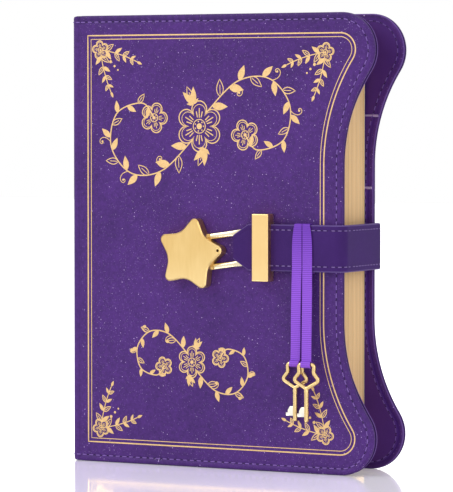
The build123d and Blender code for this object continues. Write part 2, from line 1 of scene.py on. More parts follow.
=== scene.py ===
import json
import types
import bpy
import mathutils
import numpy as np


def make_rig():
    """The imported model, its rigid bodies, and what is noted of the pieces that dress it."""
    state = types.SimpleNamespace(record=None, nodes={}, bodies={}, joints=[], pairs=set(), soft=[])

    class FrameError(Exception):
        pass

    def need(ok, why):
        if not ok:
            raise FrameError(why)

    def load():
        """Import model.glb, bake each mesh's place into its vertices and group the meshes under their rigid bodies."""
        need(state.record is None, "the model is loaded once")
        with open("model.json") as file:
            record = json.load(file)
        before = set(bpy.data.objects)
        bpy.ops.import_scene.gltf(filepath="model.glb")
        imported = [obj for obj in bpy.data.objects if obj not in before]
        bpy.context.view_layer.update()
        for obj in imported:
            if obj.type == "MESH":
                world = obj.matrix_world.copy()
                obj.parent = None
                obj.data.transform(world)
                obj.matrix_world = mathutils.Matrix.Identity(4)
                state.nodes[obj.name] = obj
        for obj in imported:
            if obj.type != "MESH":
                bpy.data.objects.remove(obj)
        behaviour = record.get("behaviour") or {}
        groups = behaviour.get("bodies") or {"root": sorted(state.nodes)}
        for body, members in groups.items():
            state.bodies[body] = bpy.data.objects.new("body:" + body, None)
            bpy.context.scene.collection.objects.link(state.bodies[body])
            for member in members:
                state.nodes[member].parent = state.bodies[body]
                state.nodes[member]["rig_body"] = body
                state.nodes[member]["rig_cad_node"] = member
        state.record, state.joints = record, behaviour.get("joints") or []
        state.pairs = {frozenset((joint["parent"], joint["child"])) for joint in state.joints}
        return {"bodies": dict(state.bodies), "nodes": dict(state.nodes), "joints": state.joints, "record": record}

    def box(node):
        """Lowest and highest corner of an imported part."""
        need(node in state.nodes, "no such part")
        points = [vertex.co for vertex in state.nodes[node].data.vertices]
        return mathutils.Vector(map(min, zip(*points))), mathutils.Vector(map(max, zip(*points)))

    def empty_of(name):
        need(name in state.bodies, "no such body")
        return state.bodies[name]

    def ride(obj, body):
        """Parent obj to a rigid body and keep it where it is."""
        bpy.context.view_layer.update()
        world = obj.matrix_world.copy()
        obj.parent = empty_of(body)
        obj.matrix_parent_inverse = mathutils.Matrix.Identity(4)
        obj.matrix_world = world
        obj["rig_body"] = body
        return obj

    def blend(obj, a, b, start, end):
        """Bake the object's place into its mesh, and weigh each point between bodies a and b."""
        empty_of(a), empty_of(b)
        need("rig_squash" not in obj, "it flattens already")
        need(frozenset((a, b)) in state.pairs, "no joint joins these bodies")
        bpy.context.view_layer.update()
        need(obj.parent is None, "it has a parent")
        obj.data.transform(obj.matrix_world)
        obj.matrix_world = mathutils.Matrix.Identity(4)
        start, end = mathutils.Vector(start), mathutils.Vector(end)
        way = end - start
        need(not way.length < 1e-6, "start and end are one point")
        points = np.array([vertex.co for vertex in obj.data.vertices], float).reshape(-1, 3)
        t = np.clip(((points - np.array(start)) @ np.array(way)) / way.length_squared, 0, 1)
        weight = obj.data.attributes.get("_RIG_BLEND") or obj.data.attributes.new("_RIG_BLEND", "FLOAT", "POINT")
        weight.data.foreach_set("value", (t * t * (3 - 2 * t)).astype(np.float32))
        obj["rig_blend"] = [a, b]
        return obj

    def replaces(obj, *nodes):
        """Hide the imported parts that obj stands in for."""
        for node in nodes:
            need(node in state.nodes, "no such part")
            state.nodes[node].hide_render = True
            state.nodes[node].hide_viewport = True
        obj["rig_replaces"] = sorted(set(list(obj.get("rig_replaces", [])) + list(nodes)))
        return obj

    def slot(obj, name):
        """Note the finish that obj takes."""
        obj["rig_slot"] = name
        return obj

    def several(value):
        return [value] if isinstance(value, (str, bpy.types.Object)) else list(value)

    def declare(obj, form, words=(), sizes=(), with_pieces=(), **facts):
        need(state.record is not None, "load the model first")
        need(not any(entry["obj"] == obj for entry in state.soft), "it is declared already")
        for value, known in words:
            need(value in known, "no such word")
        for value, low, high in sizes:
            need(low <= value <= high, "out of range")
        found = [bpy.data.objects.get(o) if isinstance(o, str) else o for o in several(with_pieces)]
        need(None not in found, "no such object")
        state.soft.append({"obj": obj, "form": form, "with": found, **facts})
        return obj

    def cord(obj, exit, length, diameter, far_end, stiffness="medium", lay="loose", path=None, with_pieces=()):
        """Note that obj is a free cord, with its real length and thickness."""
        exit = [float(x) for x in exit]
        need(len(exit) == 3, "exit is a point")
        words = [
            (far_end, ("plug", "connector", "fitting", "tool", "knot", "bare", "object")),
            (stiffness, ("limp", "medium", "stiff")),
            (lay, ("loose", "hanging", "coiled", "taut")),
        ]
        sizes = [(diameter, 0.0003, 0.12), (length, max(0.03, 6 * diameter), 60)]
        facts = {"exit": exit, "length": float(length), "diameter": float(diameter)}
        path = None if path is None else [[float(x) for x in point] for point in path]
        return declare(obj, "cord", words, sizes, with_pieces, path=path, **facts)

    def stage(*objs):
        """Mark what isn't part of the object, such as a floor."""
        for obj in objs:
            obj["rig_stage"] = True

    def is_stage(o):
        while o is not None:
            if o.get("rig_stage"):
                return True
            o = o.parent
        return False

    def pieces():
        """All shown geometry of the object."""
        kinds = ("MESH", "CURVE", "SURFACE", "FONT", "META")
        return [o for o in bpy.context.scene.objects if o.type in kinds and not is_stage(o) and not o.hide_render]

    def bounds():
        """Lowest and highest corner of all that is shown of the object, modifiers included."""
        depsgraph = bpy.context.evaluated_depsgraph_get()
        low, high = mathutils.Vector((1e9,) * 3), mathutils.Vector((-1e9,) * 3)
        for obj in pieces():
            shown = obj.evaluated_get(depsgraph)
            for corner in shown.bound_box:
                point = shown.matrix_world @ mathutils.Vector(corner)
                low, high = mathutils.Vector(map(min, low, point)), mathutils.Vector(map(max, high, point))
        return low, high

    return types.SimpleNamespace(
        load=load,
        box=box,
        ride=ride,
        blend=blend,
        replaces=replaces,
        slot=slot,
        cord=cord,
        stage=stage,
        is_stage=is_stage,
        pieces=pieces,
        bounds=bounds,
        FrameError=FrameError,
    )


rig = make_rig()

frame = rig.load()

import bisect
import functools
import json
import logging
import math
import random
from dataclasses import dataclass, field
from enum import Enum
from typing import Iterable, Optional, Sequence, Union

import bmesh
import bpy
from mathutils import Vector

# Lengths are millimetres in the part's layout: x from the spine's outer face, y from the front cover's
# face towards the back, z from the lower edge. Everything is moved to the shared frame in metres by place().
LOG = logging.getLogger("diary")
CAD_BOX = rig.bounds()
SHIFT = (-80.75, -15.6, 0.0)
MM = 0.001

Point = tuple[float, float, float]
Flat = tuple[float, float]
Triple = tuple[float, float, float]
Profile = tuple[Triple, ...]
Station = tuple[Flat, Flat, float, float]
Colour = tuple[float, float, float, float]


def place(point: Sequence[float]) -> Point:
    """Move a layout point to the shared frame.

    Args:
        point: x, y and z in layout millimetres.

    Returns:
        The same point in metres.
    """
    return tuple((value + shift) * MM for value, shift in zip(point, SHIFT))


def tint(red: int, green: int, blue: int) -> Colour:
    """Turn an sRGB colour into the linear one that shaders take.

    Args:
        red, green, blue: channels from 0 to 255.

    Returns:
        Linear red, green, blue and alpha.
    """
    def linear(channel: int) -> float:
        """One channel, from sRGB to linear."""
        value = channel / 255
        return value / 12.92 if value <= 0.04045 else ((value + 0.055) / 1.055) ** 2.4

    return (linear(red), linear(green), linear(blue), 1.0)


def arc(centre: Flat, radius: float, start: float, end: float, steps: int) -> list[Flat]:
    """Points on an arc, both ends included.

    Args:
        centre: the arc's centre.
        radius: its radius.
        start, end: its angles in degrees.
        steps: how many pieces it is cut into.

    Returns:
        steps + 1 points.
    """
    turns = [math.radians(start + (end - start) * n / steps) for n in range(steps + 1)]
    return [(centre[0] + radius * math.cos(t), centre[1] + radius * math.sin(t)) for t in turns]


def spaced(start: float, end: float, steps: int) -> list[float]:
    """Evenly spaced numbers, both ends included."""
    return [start + (end - start) * (n / steps) for n in range(steps + 1)]


def straight(start: Flat, end: Flat, steps: int) -> list[Flat]:
    """Evenly spaced points on a line, both ends included."""
    return list(zip(spaced(start[0], end[0], steps), spaced(start[1], end[1], steps)))


def circle(count: int) -> list[float]:
    """Evenly spaced angles once round, in radians."""
    return [2 * math.pi * n / count for n in range(count)]


def stepped(at: Flat, angle: float, reach: float) -> Flat:
    """The point at a distance from another, in a direction in degrees."""
    lean = math.radians(angle)
    return (at[0] + math.cos(lean) * reach, at[1] + math.sin(lean) * reach)


def headings(line: Sequence[Flat], closed: bool) -> list[Vector]:
    """The unit direction of a flat line at each of its points.

    Args:
        line: the points.
        closed: whether the last point joins the first.

    Returns:
        A direction for each point.
    """
    count = len(line)
    found = []
    for n in range(count):
        before = line[n - 1] if closed or n else line[0]
        after = line[(n + 1) % count] if closed or n < count - 1 else line[-1]
        found.append(Vector((after[0] - before[0], after[1] - before[1])).normalized())
    return found


def chain(*runs: Sequence[Flat]) -> list[Flat]:
    """Join runs end to end, leaving out points that repeat.

    Args:
        runs: lists of points, each starting where the last one ends.

    Returns:
        One list of points.
    """
    joined: list[Flat] = []
    for run in runs:
        for point in run:
            if not joined or math.dist(point, joined[-1]) > 1e-4:
                joined.append(tuple(point))
    return joined


@dataclass
class Track:
    """A line over a surface, with the surface's normal at each point."""

    points: list[Point]
    normals: list[Point]
    marks: list[float] = field(default_factory=list)

    def __post_init__(self) -> None:
        """Measure the distance from the start to each point."""
        self.marks = [0.0]
        for a, b in zip(self.points, self.points[1:]):
            self.marks.append(self.marks[-1] + math.dist(a, b))

    @property
    def length(self) -> float:
        """The line's length."""
        return self.marks[-1]

    def at(self, distance: float) -> tuple[Vector, Vector, Vector]:
        """Where the line is at a distance from its start.

        Args:
            distance: the distance along the line.

        Returns:
            The point, the unit direction and the unit normal.
        """
        distance = min(max(distance, 0.0), self.length)
        n = min(max(bisect.bisect_right(self.marks, distance) - 1, 0), len(self.points) - 2)
        a, b = Vector(self.points[n]), Vector(self.points[n + 1])
        share = (distance - self.marks[n]) / max(self.marks[n + 1] - self.marks[n], 1e-9)
        normal = Vector(self.normals[n]).lerp(Vector(self.normals[n + 1]), share)
        return a.lerp(b, share), (b - a).normalized(), normal.normalized()


@dataclass
class Shape:
    """A mesh under construction, in layout millimetres."""

    points: list[Point] = field(default_factory=list)
    faces: list[tuple[int, ...]] = field(default_factory=list)
    marks: list[int] = field(default_factory=list)

    def add(self, points: Iterable[Sequence[float]], faces: Iterable[Sequence[int]], mark: int = 0) -> None:
        """Add loose points and the faces between them.

        Args:
            points: the new points.
            faces: faces, as numbers into the new points.
            mark: which of the piece's finishes they take.
        """
        base = len(self.points)
        self.points.extend(tuple(p) for p in points)
        new = [tuple(base + n for n in face) for face in faces]
        self.faces.extend(new)
        self.marks.extend([mark] * len(new))

    def skin(self, rows: Sequence[Sequence[Sequence[float]]], closed: bool = False, ring: bool = False,
             mark: int = 0) -> None:
        """Stretch faces over rows of points.

        Args:
            rows: rows with the same number of points.
            closed: whether each row's last point joins its first.
            ring: whether the last row joins the first.
            mark: which finish the faces take.
        """
        width = len(rows[0])
        faces = []
        for r in range(len(rows) if ring else len(rows) - 1):
            a, b = r * width, (r + 1) % len(rows) * width
            for c in range(width if closed else width - 1):
                d = (c + 1) % width
                faces.append((a + c, a + d, b + d, b + c))
        self.add([p for row in rows for p in row], faces, mark)

    def lid(self, loop: Sequence[Sequence[float]], mark: int = 0) -> None:
        """Close a loop of points with one face."""
        self.add(loop, [range(len(loop))], mark)

    def tube(self, rows: Sequence[Sequence[Sequence[float]]], mark: int = 0) -> None:
        """A closed tube over rows of points, with a lid at each end.

        Args:
            rows: rows with the same number of points.
            mark: which finish the faces take.
        """
        self.skin(rows, closed=True, mark=mark)
        self.lid(rows[0], mark)
        self.lid(rows[-1], mark)

    def block(self, low: Sequence[float], high: Sequence[float], sides: int = 0, faces: int = 0) -> None:
        """A box whose two broad faces, across y, may take another finish.

        Args:
            low, high: opposite corners.
            sides: the finish of its four narrow sides.
            faces: the finish of the two faces across y.
        """
        corners = [(x, y, z) for x in (low[0], high[0]) for y in (low[1], high[1]) for z in (low[2], high[2])]
        base = len(self.points)
        self.add(corners, [(0, 2, 3, 1), (4, 5, 7, 6), (0, 4, 6, 2), (1, 3, 7, 5)], sides)
        for face in ((0, 1, 5, 4), (2, 6, 7, 3)):
            self.faces.append(tuple(base + n for n in face))
            self.marks.append(faces)

    def piece(self, name: str, finishes: Sequence[bpy.types.Material],
              crease: float = 35.0) -> bpy.types.Object:
        """Turn the shape into an object of the scene.

        Args:
            name: the piece's name.
            finishes: its materials, in the order of the marks.
            crease: the angle in degrees above which an edge stays sharp.

        Returns:
            The new object.
        """
        mesh = bpy.data.meshes.new(name)
        mesh.from_pydata([place(p) for p in self.points], [], self.faces)
        mesh.polygons.foreach_set("material_index", self.marks)
        work = bmesh.new()
        work.from_mesh(mesh)
        bmesh.ops.remove_doubles(work, verts=work.verts, dist=5e-7)
        bmesh.ops.recalc_face_normals(work, faces=work.faces)
        work.to_mesh(mesh)
        work.free()
        for finish in finishes:
            mesh.materials.append(finish)
        mesh.shade_smooth()
        mesh.set_sharp_from_angle(angle=math.radians(crease))
        made = bpy.data.objects.new(name, mesh)
        bpy.context.scene.collection.objects.link(made)
        LOG.info("%s: %d faces", name, len(mesh.polygons))
        return made


class Signal:
    """A value in a finish's node tree. Arithmetic on it adds Math nodes."""

    def __init__(self, bench: "Bench", socket: bpy.types.NodeSocket) -> None:
        """Wrap one output socket."""
        self.bench = bench
        self.socket = socket

    def _math(self, operation: str, first: "Value", second: "Value" = 0.0) -> "Signal":
        """One Math node on two values."""
        return self.bench.node("ShaderNodeMath", {"operation": operation}, {0: first, 1: second})[0]

    def __add__(self, other: "Value") -> "Signal":
        """self + other"""
        return self._math("ADD", self, other)

    def __radd__(self, other: "Value") -> "Signal":
        """other + self"""
        return self._math("ADD", other, self)

    def __sub__(self, other: "Value") -> "Signal":
        """self - other"""
        return self._math("SUBTRACT", self, other)

    def __rsub__(self, other: "Value") -> "Signal":
        """other - self"""
        return self._math("SUBTRACT", other, self)

    def __mul__(self, other: "Value") -> "Signal":
        """self * other"""
        return self._math("MULTIPLY", self, other)

    def __rmul__(self, other: "Value") -> "Signal":
        """other * self"""
        return self._math("MULTIPLY", other, self)

    def __truediv__(self, other: "Value") -> "Signal":
        """self / other"""
        return self._math("DIVIDE", self, other)

    def __gt__(self, other: "Value") -> "Signal":
        """1 where self is above other, else 0"""
        return self._math("GREATER_THAN", self, other)

    def __lt__(self, other: "Value") -> "Signal":
        """1 where self is below other, else 0"""
        return self._math("LESS_THAN", self, other)

    def wave(self, pitch: float) -> "Signal":
        """A sine along a position in metres, with a pitch in millimetres."""
        return self._math("SINE", self * (2 * math.pi / (pitch * MM)))

    def most(self, other: "Value") -> "Signal":
        """The larger of two values."""
        return self._math("MAXIMUM", self, other)

    def between(self, low: float, high: float) -> "Signal":
        """How far the value is from low to high, held between 0 and 1."""
        return ((self - low) / (high - low)).limit()

    def limit(self) -> "Signal":
        """The value held between 0 and 1."""
        return self.bench.node("ShaderNodeClamp", {}, {0: self})[0]


Value = Union[Signal, float, Sequence[float]]


class Bench:
    """One node tree: a new material's, or a world's."""

    def __init__(self, name: str, world: Optional[bpy.types.World] = None) -> None:
        """Start a material with a plain shader, or open a world's nodes.

        Args:
            name: the material's name.
            world: the world, where it isn't a material.
        """
        self.owner = bpy.data.materials.new(name) if world is None else world
        self.owner.use_nodes = True
        self.tree = self.owner.node_tree
        self.shader = self.tree.nodes.get("Principled BSDF")

    def feed(self, socket: bpy.types.NodeSocket, value: Value) -> None:
        """Link a signal to a socket, or set the socket to a constant.

        Args:
            socket: the input socket.
            value: a signal, number or colour.
        """
        if isinstance(value, Signal):
            self.tree.links.new(value.socket, socket)
        else:
            socket.default_value = value

    def node(self, kind: str, settings: Optional[dict] = None, inputs: Optional[dict] = None) -> list[Signal]:
        """Add any node.

        Args:
            kind: the node's type.
            settings: its properties, set first.
            inputs: numbers, colours or signals by socket name or number.

        Returns:
            A signal for each of its outputs.
        """
        made = self.tree.nodes.new(kind)
        for name, value in (settings or {}).items():
            setattr(made, name, value)
        for key, value in (inputs or {}).items():
            self.feed(made.inputs[key], value)
        return [Signal(self, socket) for socket in made.outputs]

    def where(self) -> Signal:
        """Position on the piece, in metres of the shared frame at rest."""
        return self.node("ShaderNodeTexCoord")[3]

    def axes(self) -> tuple[Signal, Signal, Signal]:
        """The position's x, y and z."""
        return tuple(self.node("ShaderNodeSeparateXYZ", {}, {0: self.where()}))

    def stretched(self, across: Sequence[float]) -> Signal:
        """Position with each axis scaled by its own factor."""
        return self.node("ShaderNodeVectorMath", {"operation": "MULTIPLY"}, {0: self.where(), 1: across})[0]

    def noise(self, scale: float, detail: float = 2.0, vector: Optional[Signal] = None,
              rough: float = 0.5) -> Signal:
        """Cloudy noise from about 0 to 1."""
        return self.node("ShaderNodeTexNoise", {}, {"Vector": vector or self.where(), "Scale": scale,
                                                    "Detail": detail, "Roughness": rough})[0]

    def cells(self, scale: float) -> list[Signal]:
        """Random cells: the distance to the nearest centre, and the cell's random colour."""
        return self.node("ShaderNodeTexVoronoi", {}, {"Vector": self.where(), "Scale": scale})[:2]

    def mix(self, factor: Value, first: Value, second: Value) -> Signal:
        """A colour between two colours."""
        return self.node("ShaderNodeMix", {"data_type": "RGBA"}, {0: factor, 6: first, 7: second})[2]

    def channels(self, colour: Signal) -> list[Signal]:
        """A colour's red, green and blue as values."""
        return self.node("ShaderNodeSeparateColor", {}, {0: colour})

    def bump(self, height: Signal, depth: float) -> Signal:
        """A normal from a height, depth millimetres from 0 to 1."""
        return self.node("ShaderNodeBump", {}, {"Strength": 1.0, "Distance": depth * MM, "Height": height})[0]

    def surface(self, **sockets: Value) -> bpy.types.Material:
        """Set the shader's sockets and hand back the material.

        Args:
            sockets: values by socket name, with _ for a space.

        Returns:
            The finished material.
        """
        for name, value in sockets.items():
            self.feed(self.shader.inputs[name.replace("_", " ")], value)
        return self.owner


@dataclass(frozen=True)
class Leather:
    """Imitation leather: finely grained, clouded, and mottled, with painted shade at the head, or glittering where
    wanted.

    Grain, blotch, head and the pitch of the painted pucker shadows are in millimetres. Each layer of glitter has the
    size of its cells, the share of them that is added, and its brightness.
    """

    name: str
    colour: Colour
    shade: Colour
    grain: float = 0.75
    fine_grain: float = 0.22
    depth: float = 0.05
    rough: float = 0.55
    shine: float = 0.22
    mottle: float = 0.0
    blotch: float = 1.5
    # Painted shade at the head: how much darker, over what span, and the pitch of its painted pucker shadows.
    painted_head_shade: float = 0.0
    head: Flat = (210.6, 212.6)
    painted_pucker_pitch: float = 3.7
    glitter: float = 0.0
    layers: Profile = ((0.85, 0.2, 0.5), (1.15, 0.1, 0.6), (2.3, 0.04, 1.0))
    pale_fleck: Colour = tint(222, 200, 244)
    deep_fleck: Colour = tint(166, 134, 208)

    def material(self) -> bpy.types.Material:
        """Make the material.

        Returns:
            The material.
        """
        bench = Bench(self.name)
        cell, _ = bench.cells(1 / (self.grain * MM))
        fine = bench.noise(1 / (self.fine_grain * MM), 3.0)
        cloud = bench.noise(38.0, 4.0, rough=0.6)
        height = cell * 0.7 + fine * 0.5
        tone_mix = cloud * 1.3 - 0.275 + cell * 0.3
        if self.mottle:
            tone_mix = tone_mix + self.mottle * (bench.noise(1 / (self.blotch * MM), 3.0, rough=0.65) - 0.5)
        # Painted shade: the head's margin is darkened, in ripples that stand in for the shadows of puckered skin
        # between stitches.
        if self.painted_head_shade:
            x, _, z = bench.axes()
            painted_pucker_shade = 0.7 + 0.3 * x.wave(self.painted_pucker_pitch)
            tone_mix = tone_mix - self.painted_head_shade * painted_pucker_shade * (z / MM).between(*self.head)
        colour = bench.mix(tone_mix.limit(), self.shade, self.colour)
        rough = self.rough - 0.1 * cell + 0.12 * cloud
        if self.glitter:
            spread = bench.noise(17.0, 3.0, rough=0.7)
            for cell_size, share, bright in self.layers:
                distance, random_colour = bench.cells(1 / (cell_size * MM))
                first, second, _ = bench.channels(random_colour)
                chosen = first > (1.745 - share - 1.8 * spread - self.glitter)
                speck = chosen * (distance < (0.06 + 0.11 * second))
                fleck = bench.mix(second, self.pale_fleck, self.deep_fleck)
                colour = bench.mix(speck * bright, colour, fleck)
                rough = rough - speck * 0.2
        return bench.surface(Base_Color=colour, Roughness=rough, Specular_IOR_Level=self.shine,
                             Normal=bench.bump(height, self.depth))


@dataclass(frozen=True)
class Thread:
    """Twisted sewing thread, with its twist and fuzz in millimetres."""

    name: str
    colour: Colour
    shade: Colour
    twist: float = 0.32
    fuzz: float = 0.2

    def material(self) -> bpy.types.Material:
        """Make the material.

        Returns:
            The material.
        """
        bench = Bench(self.name)
        x, y, z = bench.axes()
        twist = (x + y + z).wave(self.twist) * 0.5 + 0.5
        fuzz = bench.noise(1 / (self.fuzz * MM), 2.0)
        colour = bench.mix((twist * 0.7 + fuzz * 0.3).limit(), self.shade, self.colour)
        return bench.surface(Base_Color=colour, Roughness=0.62 + fuzz * 0.15, Specular_IOR_Level=0.25,
                             Normal=bench.bump(twist, 0.04))


@dataclass(frozen=True)
class PageEdges:
    """The trimmed edges of many leaves: fine strata, darker in bands, with a painted yellow highlight near the front.
    """

    name: str
    colour: Colour
    shade: Colour
    # The yellower colour near the front: painted highlight.
    glow: Colour
    painted_highlight_span: Flat = (4.0, 13.0)
    strata: Triple = (30.0, 3600.0, 6.0)
    bands: Triple = (2.0, 420.0, 1.2)

    def material(self) -> bpy.types.Material:
        """Make the material.

        Returns:
            The material.
        """
        bench = Bench(self.name)
        _, y, _ = bench.axes()
        leaves = bench.noise(1.0, 2.0, bench.stretched(self.strata))
        bands = bench.noise(1.0, 2.0, bench.stretched(self.bands))
        # Painted highlight: the yellower colour near the front fades into the plain one.
        base = bench.mix((y / MM - SHIFT[1]).between(*self.painted_highlight_span), self.glow, self.colour)
        lines = (leaves * 0.8 + bands * 0.9 - 0.62).limit()
        colour = bench.mix((lines * 1.9).limit(), base, self.shade)
        return bench.surface(Base_Color=colour, Roughness=0.82 - 0.1 * leaves, Specular_IOR_Level=0.12,
                             Normal=bench.bump(leaves, 0.05))


@dataclass(frozen=True)
class Paper:
    """Writing paper with faint fibres, ruled where it is meant to be, inside a span across and upwards."""

    name: str
    colour: Colour
    shade: Colour
    fibre: float = 0.5
    ruled: bool = False
    line_pitch: float = 7.1
    across: Flat = (-66.0, 54.0)
    upwards: Flat = (14.0, 193.0)
    ink: Colour = tint(150, 128, 168)

    def material(self) -> bpy.types.Material:
        """Make the material.

        Returns:
            The material.
        """
        bench = Bench(self.name)
        fibre = bench.noise(1 / (self.fibre * MM), 5.0, rough=0.7)
        cloud = bench.noise(22.0, 3.0)
        colour = bench.mix((fibre * 0.5 + cloud * 0.5).limit(), self.shade, self.colour)
        if self.ruled:
            x, _, z = bench.axes()
            (left, right), (low, high) = self.across, self.upwards
            inside = (z > low * MM) * (z < high * MM) * (x > left * MM) * (x < right * MM)
            line = z.wave(self.line_pitch) > 0.985
            colour = bench.mix(line * inside * 0.45, colour, self.ink)
        return bench.surface(Base_Color=colour, Roughness=0.86, Specular_IOR_Level=0.1,
                             Normal=bench.bump(fibre, 0.02))


@dataclass(frozen=True)
class Plate:
    """Satin gold or steel plate, faintly brushed, in soft clouds, and with a painted reflection that darkens it
    upwards where a span is given.
    """

    name: str
    colour: Colour
    shade: Colour
    rough: float = 0.3
    brush: Triple = (900.0, 900.0, 120.0)
    scuff: float = 1.6
    painted_reflection_span: Optional[Flat] = None

    def material(self) -> bpy.types.Material:
        """Make the material.

        Returns:
            The material.
        """
        bench = Bench(self.name)
        hair = bench.noise(1.0, 3.0, bench.stretched(self.brush))
        cloud = bench.noise(46.0, 2.0)
        scuff = bench.noise(1 / (self.scuff * MM), 4.0, rough=0.7)
        light = cloud * 0.8 + hair * 0.3 - 0.1
        # Painted reflection: lighter low down and darker upwards over the span.
        if self.painted_reflection_span:
            light = light + 0.22 - 0.5 * (bench.axes()[2] / MM).between(*self.painted_reflection_span)
        colour = bench.mix(light.limit(), self.shade, self.colour)
        rough = self.rough + 0.1 * hair + 0.08 * (scuff > 0.6)
        return bench.surface(Base_Color=colour, Metallic=1.0, Roughness=rough, Normal=bench.bump(hair, 0.006))


@dataclass(frozen=True)
class Foil:
    """Hot-stamped foil, which takes the leather's grain and is thin in places."""

    name: str
    colour: Colour
    shade: Colour
    grain: float = 0.75
    patch: float = 2.4

    def material(self) -> bpy.types.Material:
        """Make the material.

        Returns:
            The material.
        """
        bench = Bench(self.name)
        grain, _ = bench.cells(1 / (self.grain * MM))
        tone_mix = bench.noise(1 / (self.patch * MM), 4.0, rough=0.7)
        colour = bench.mix((tone_mix * 0.9 + grain * 0.3).limit(), self.shade, self.colour)
        return bench.surface(Base_Color=colour, Metallic=0.62 + 0.3 * tone_mix, Roughness=0.34 + 0.16 * grain,
                             Normal=bench.bump(grain, 0.03))


@dataclass(frozen=True)
class Ribbed:
    """Grosgrain ribbon: warp threads over ribs, with painted shade that darkens it upwards towards the strap."""

    name: str
    colour: Colour
    shade: Colour
    rib: float = 0.9
    warp: float = 0.3
    fuzz: float = 0.35
    # The span in height over which painted shade darkens the ribbon towards the strap.
    tight: Flat = (80.0, 114.0)

    def material(self) -> bpy.types.Material:
        """Make the material.

        Returns:
            The material.
        """
        bench = Bench(self.name)
        x, _, z = bench.axes()
        warp = x.wave(self.warp) * 0.5 + 0.5
        ribs = z.wave(self.rib) * 0.5 + 0.5
        fuzz = bench.noise(1 / (self.fuzz * MM), 3.0)
        # Painted shade: darker upwards over this span, towards the strap.
        drawn = (z / MM).between(*self.tight)
        light = (0.2 + ribs * 0.7 + warp * 0.15 + fuzz * 0.15 - 0.62 * drawn * drawn).limit()
        colour = bench.mix(light, self.shade, self.colour)
        return bench.surface(Base_Color=colour, Roughness=0.5 + 0.15 * fuzz, Specular_IOR_Level=0.3,
                             Normal=bench.bump(warp * 0.6 + fuzz * 0.4, 0.03))


@dataclass(frozen=True)
class Woven:
    """Board or cloth: crossed threads or fibres in two shades, or striped across y."""

    name: str
    colour: Colour
    shade: Colour
    thread: float = 0.6
    fuzz: float = 0.4
    stripes: Optional[float] = None

    def material(self) -> bpy.types.Material:
        """Make the material.

        Returns:
            The material.
        """
        bench = Bench(self.name)
        x, y, z = bench.axes()
        fuzz = bench.noise(1 / (self.fuzz * MM), 4.0)
        if self.stripes:
            light = (y.wave(self.stripes) > 0.0) * 0.8 + fuzz * 0.2
        else:
            weave = (x.wave(self.thread) + z.wave(self.thread) + y.wave(self.thread)) * 0.17 + 0.5
            light = (weave * 0.6 + fuzz * 0.4).limit()
        colour = bench.mix(light, self.shade, self.colour)
        return bench.surface(Base_Color=colour, Roughness=0.85, Specular_IOR_Level=0.12,
                             Normal=bench.bump(light, 0.05))


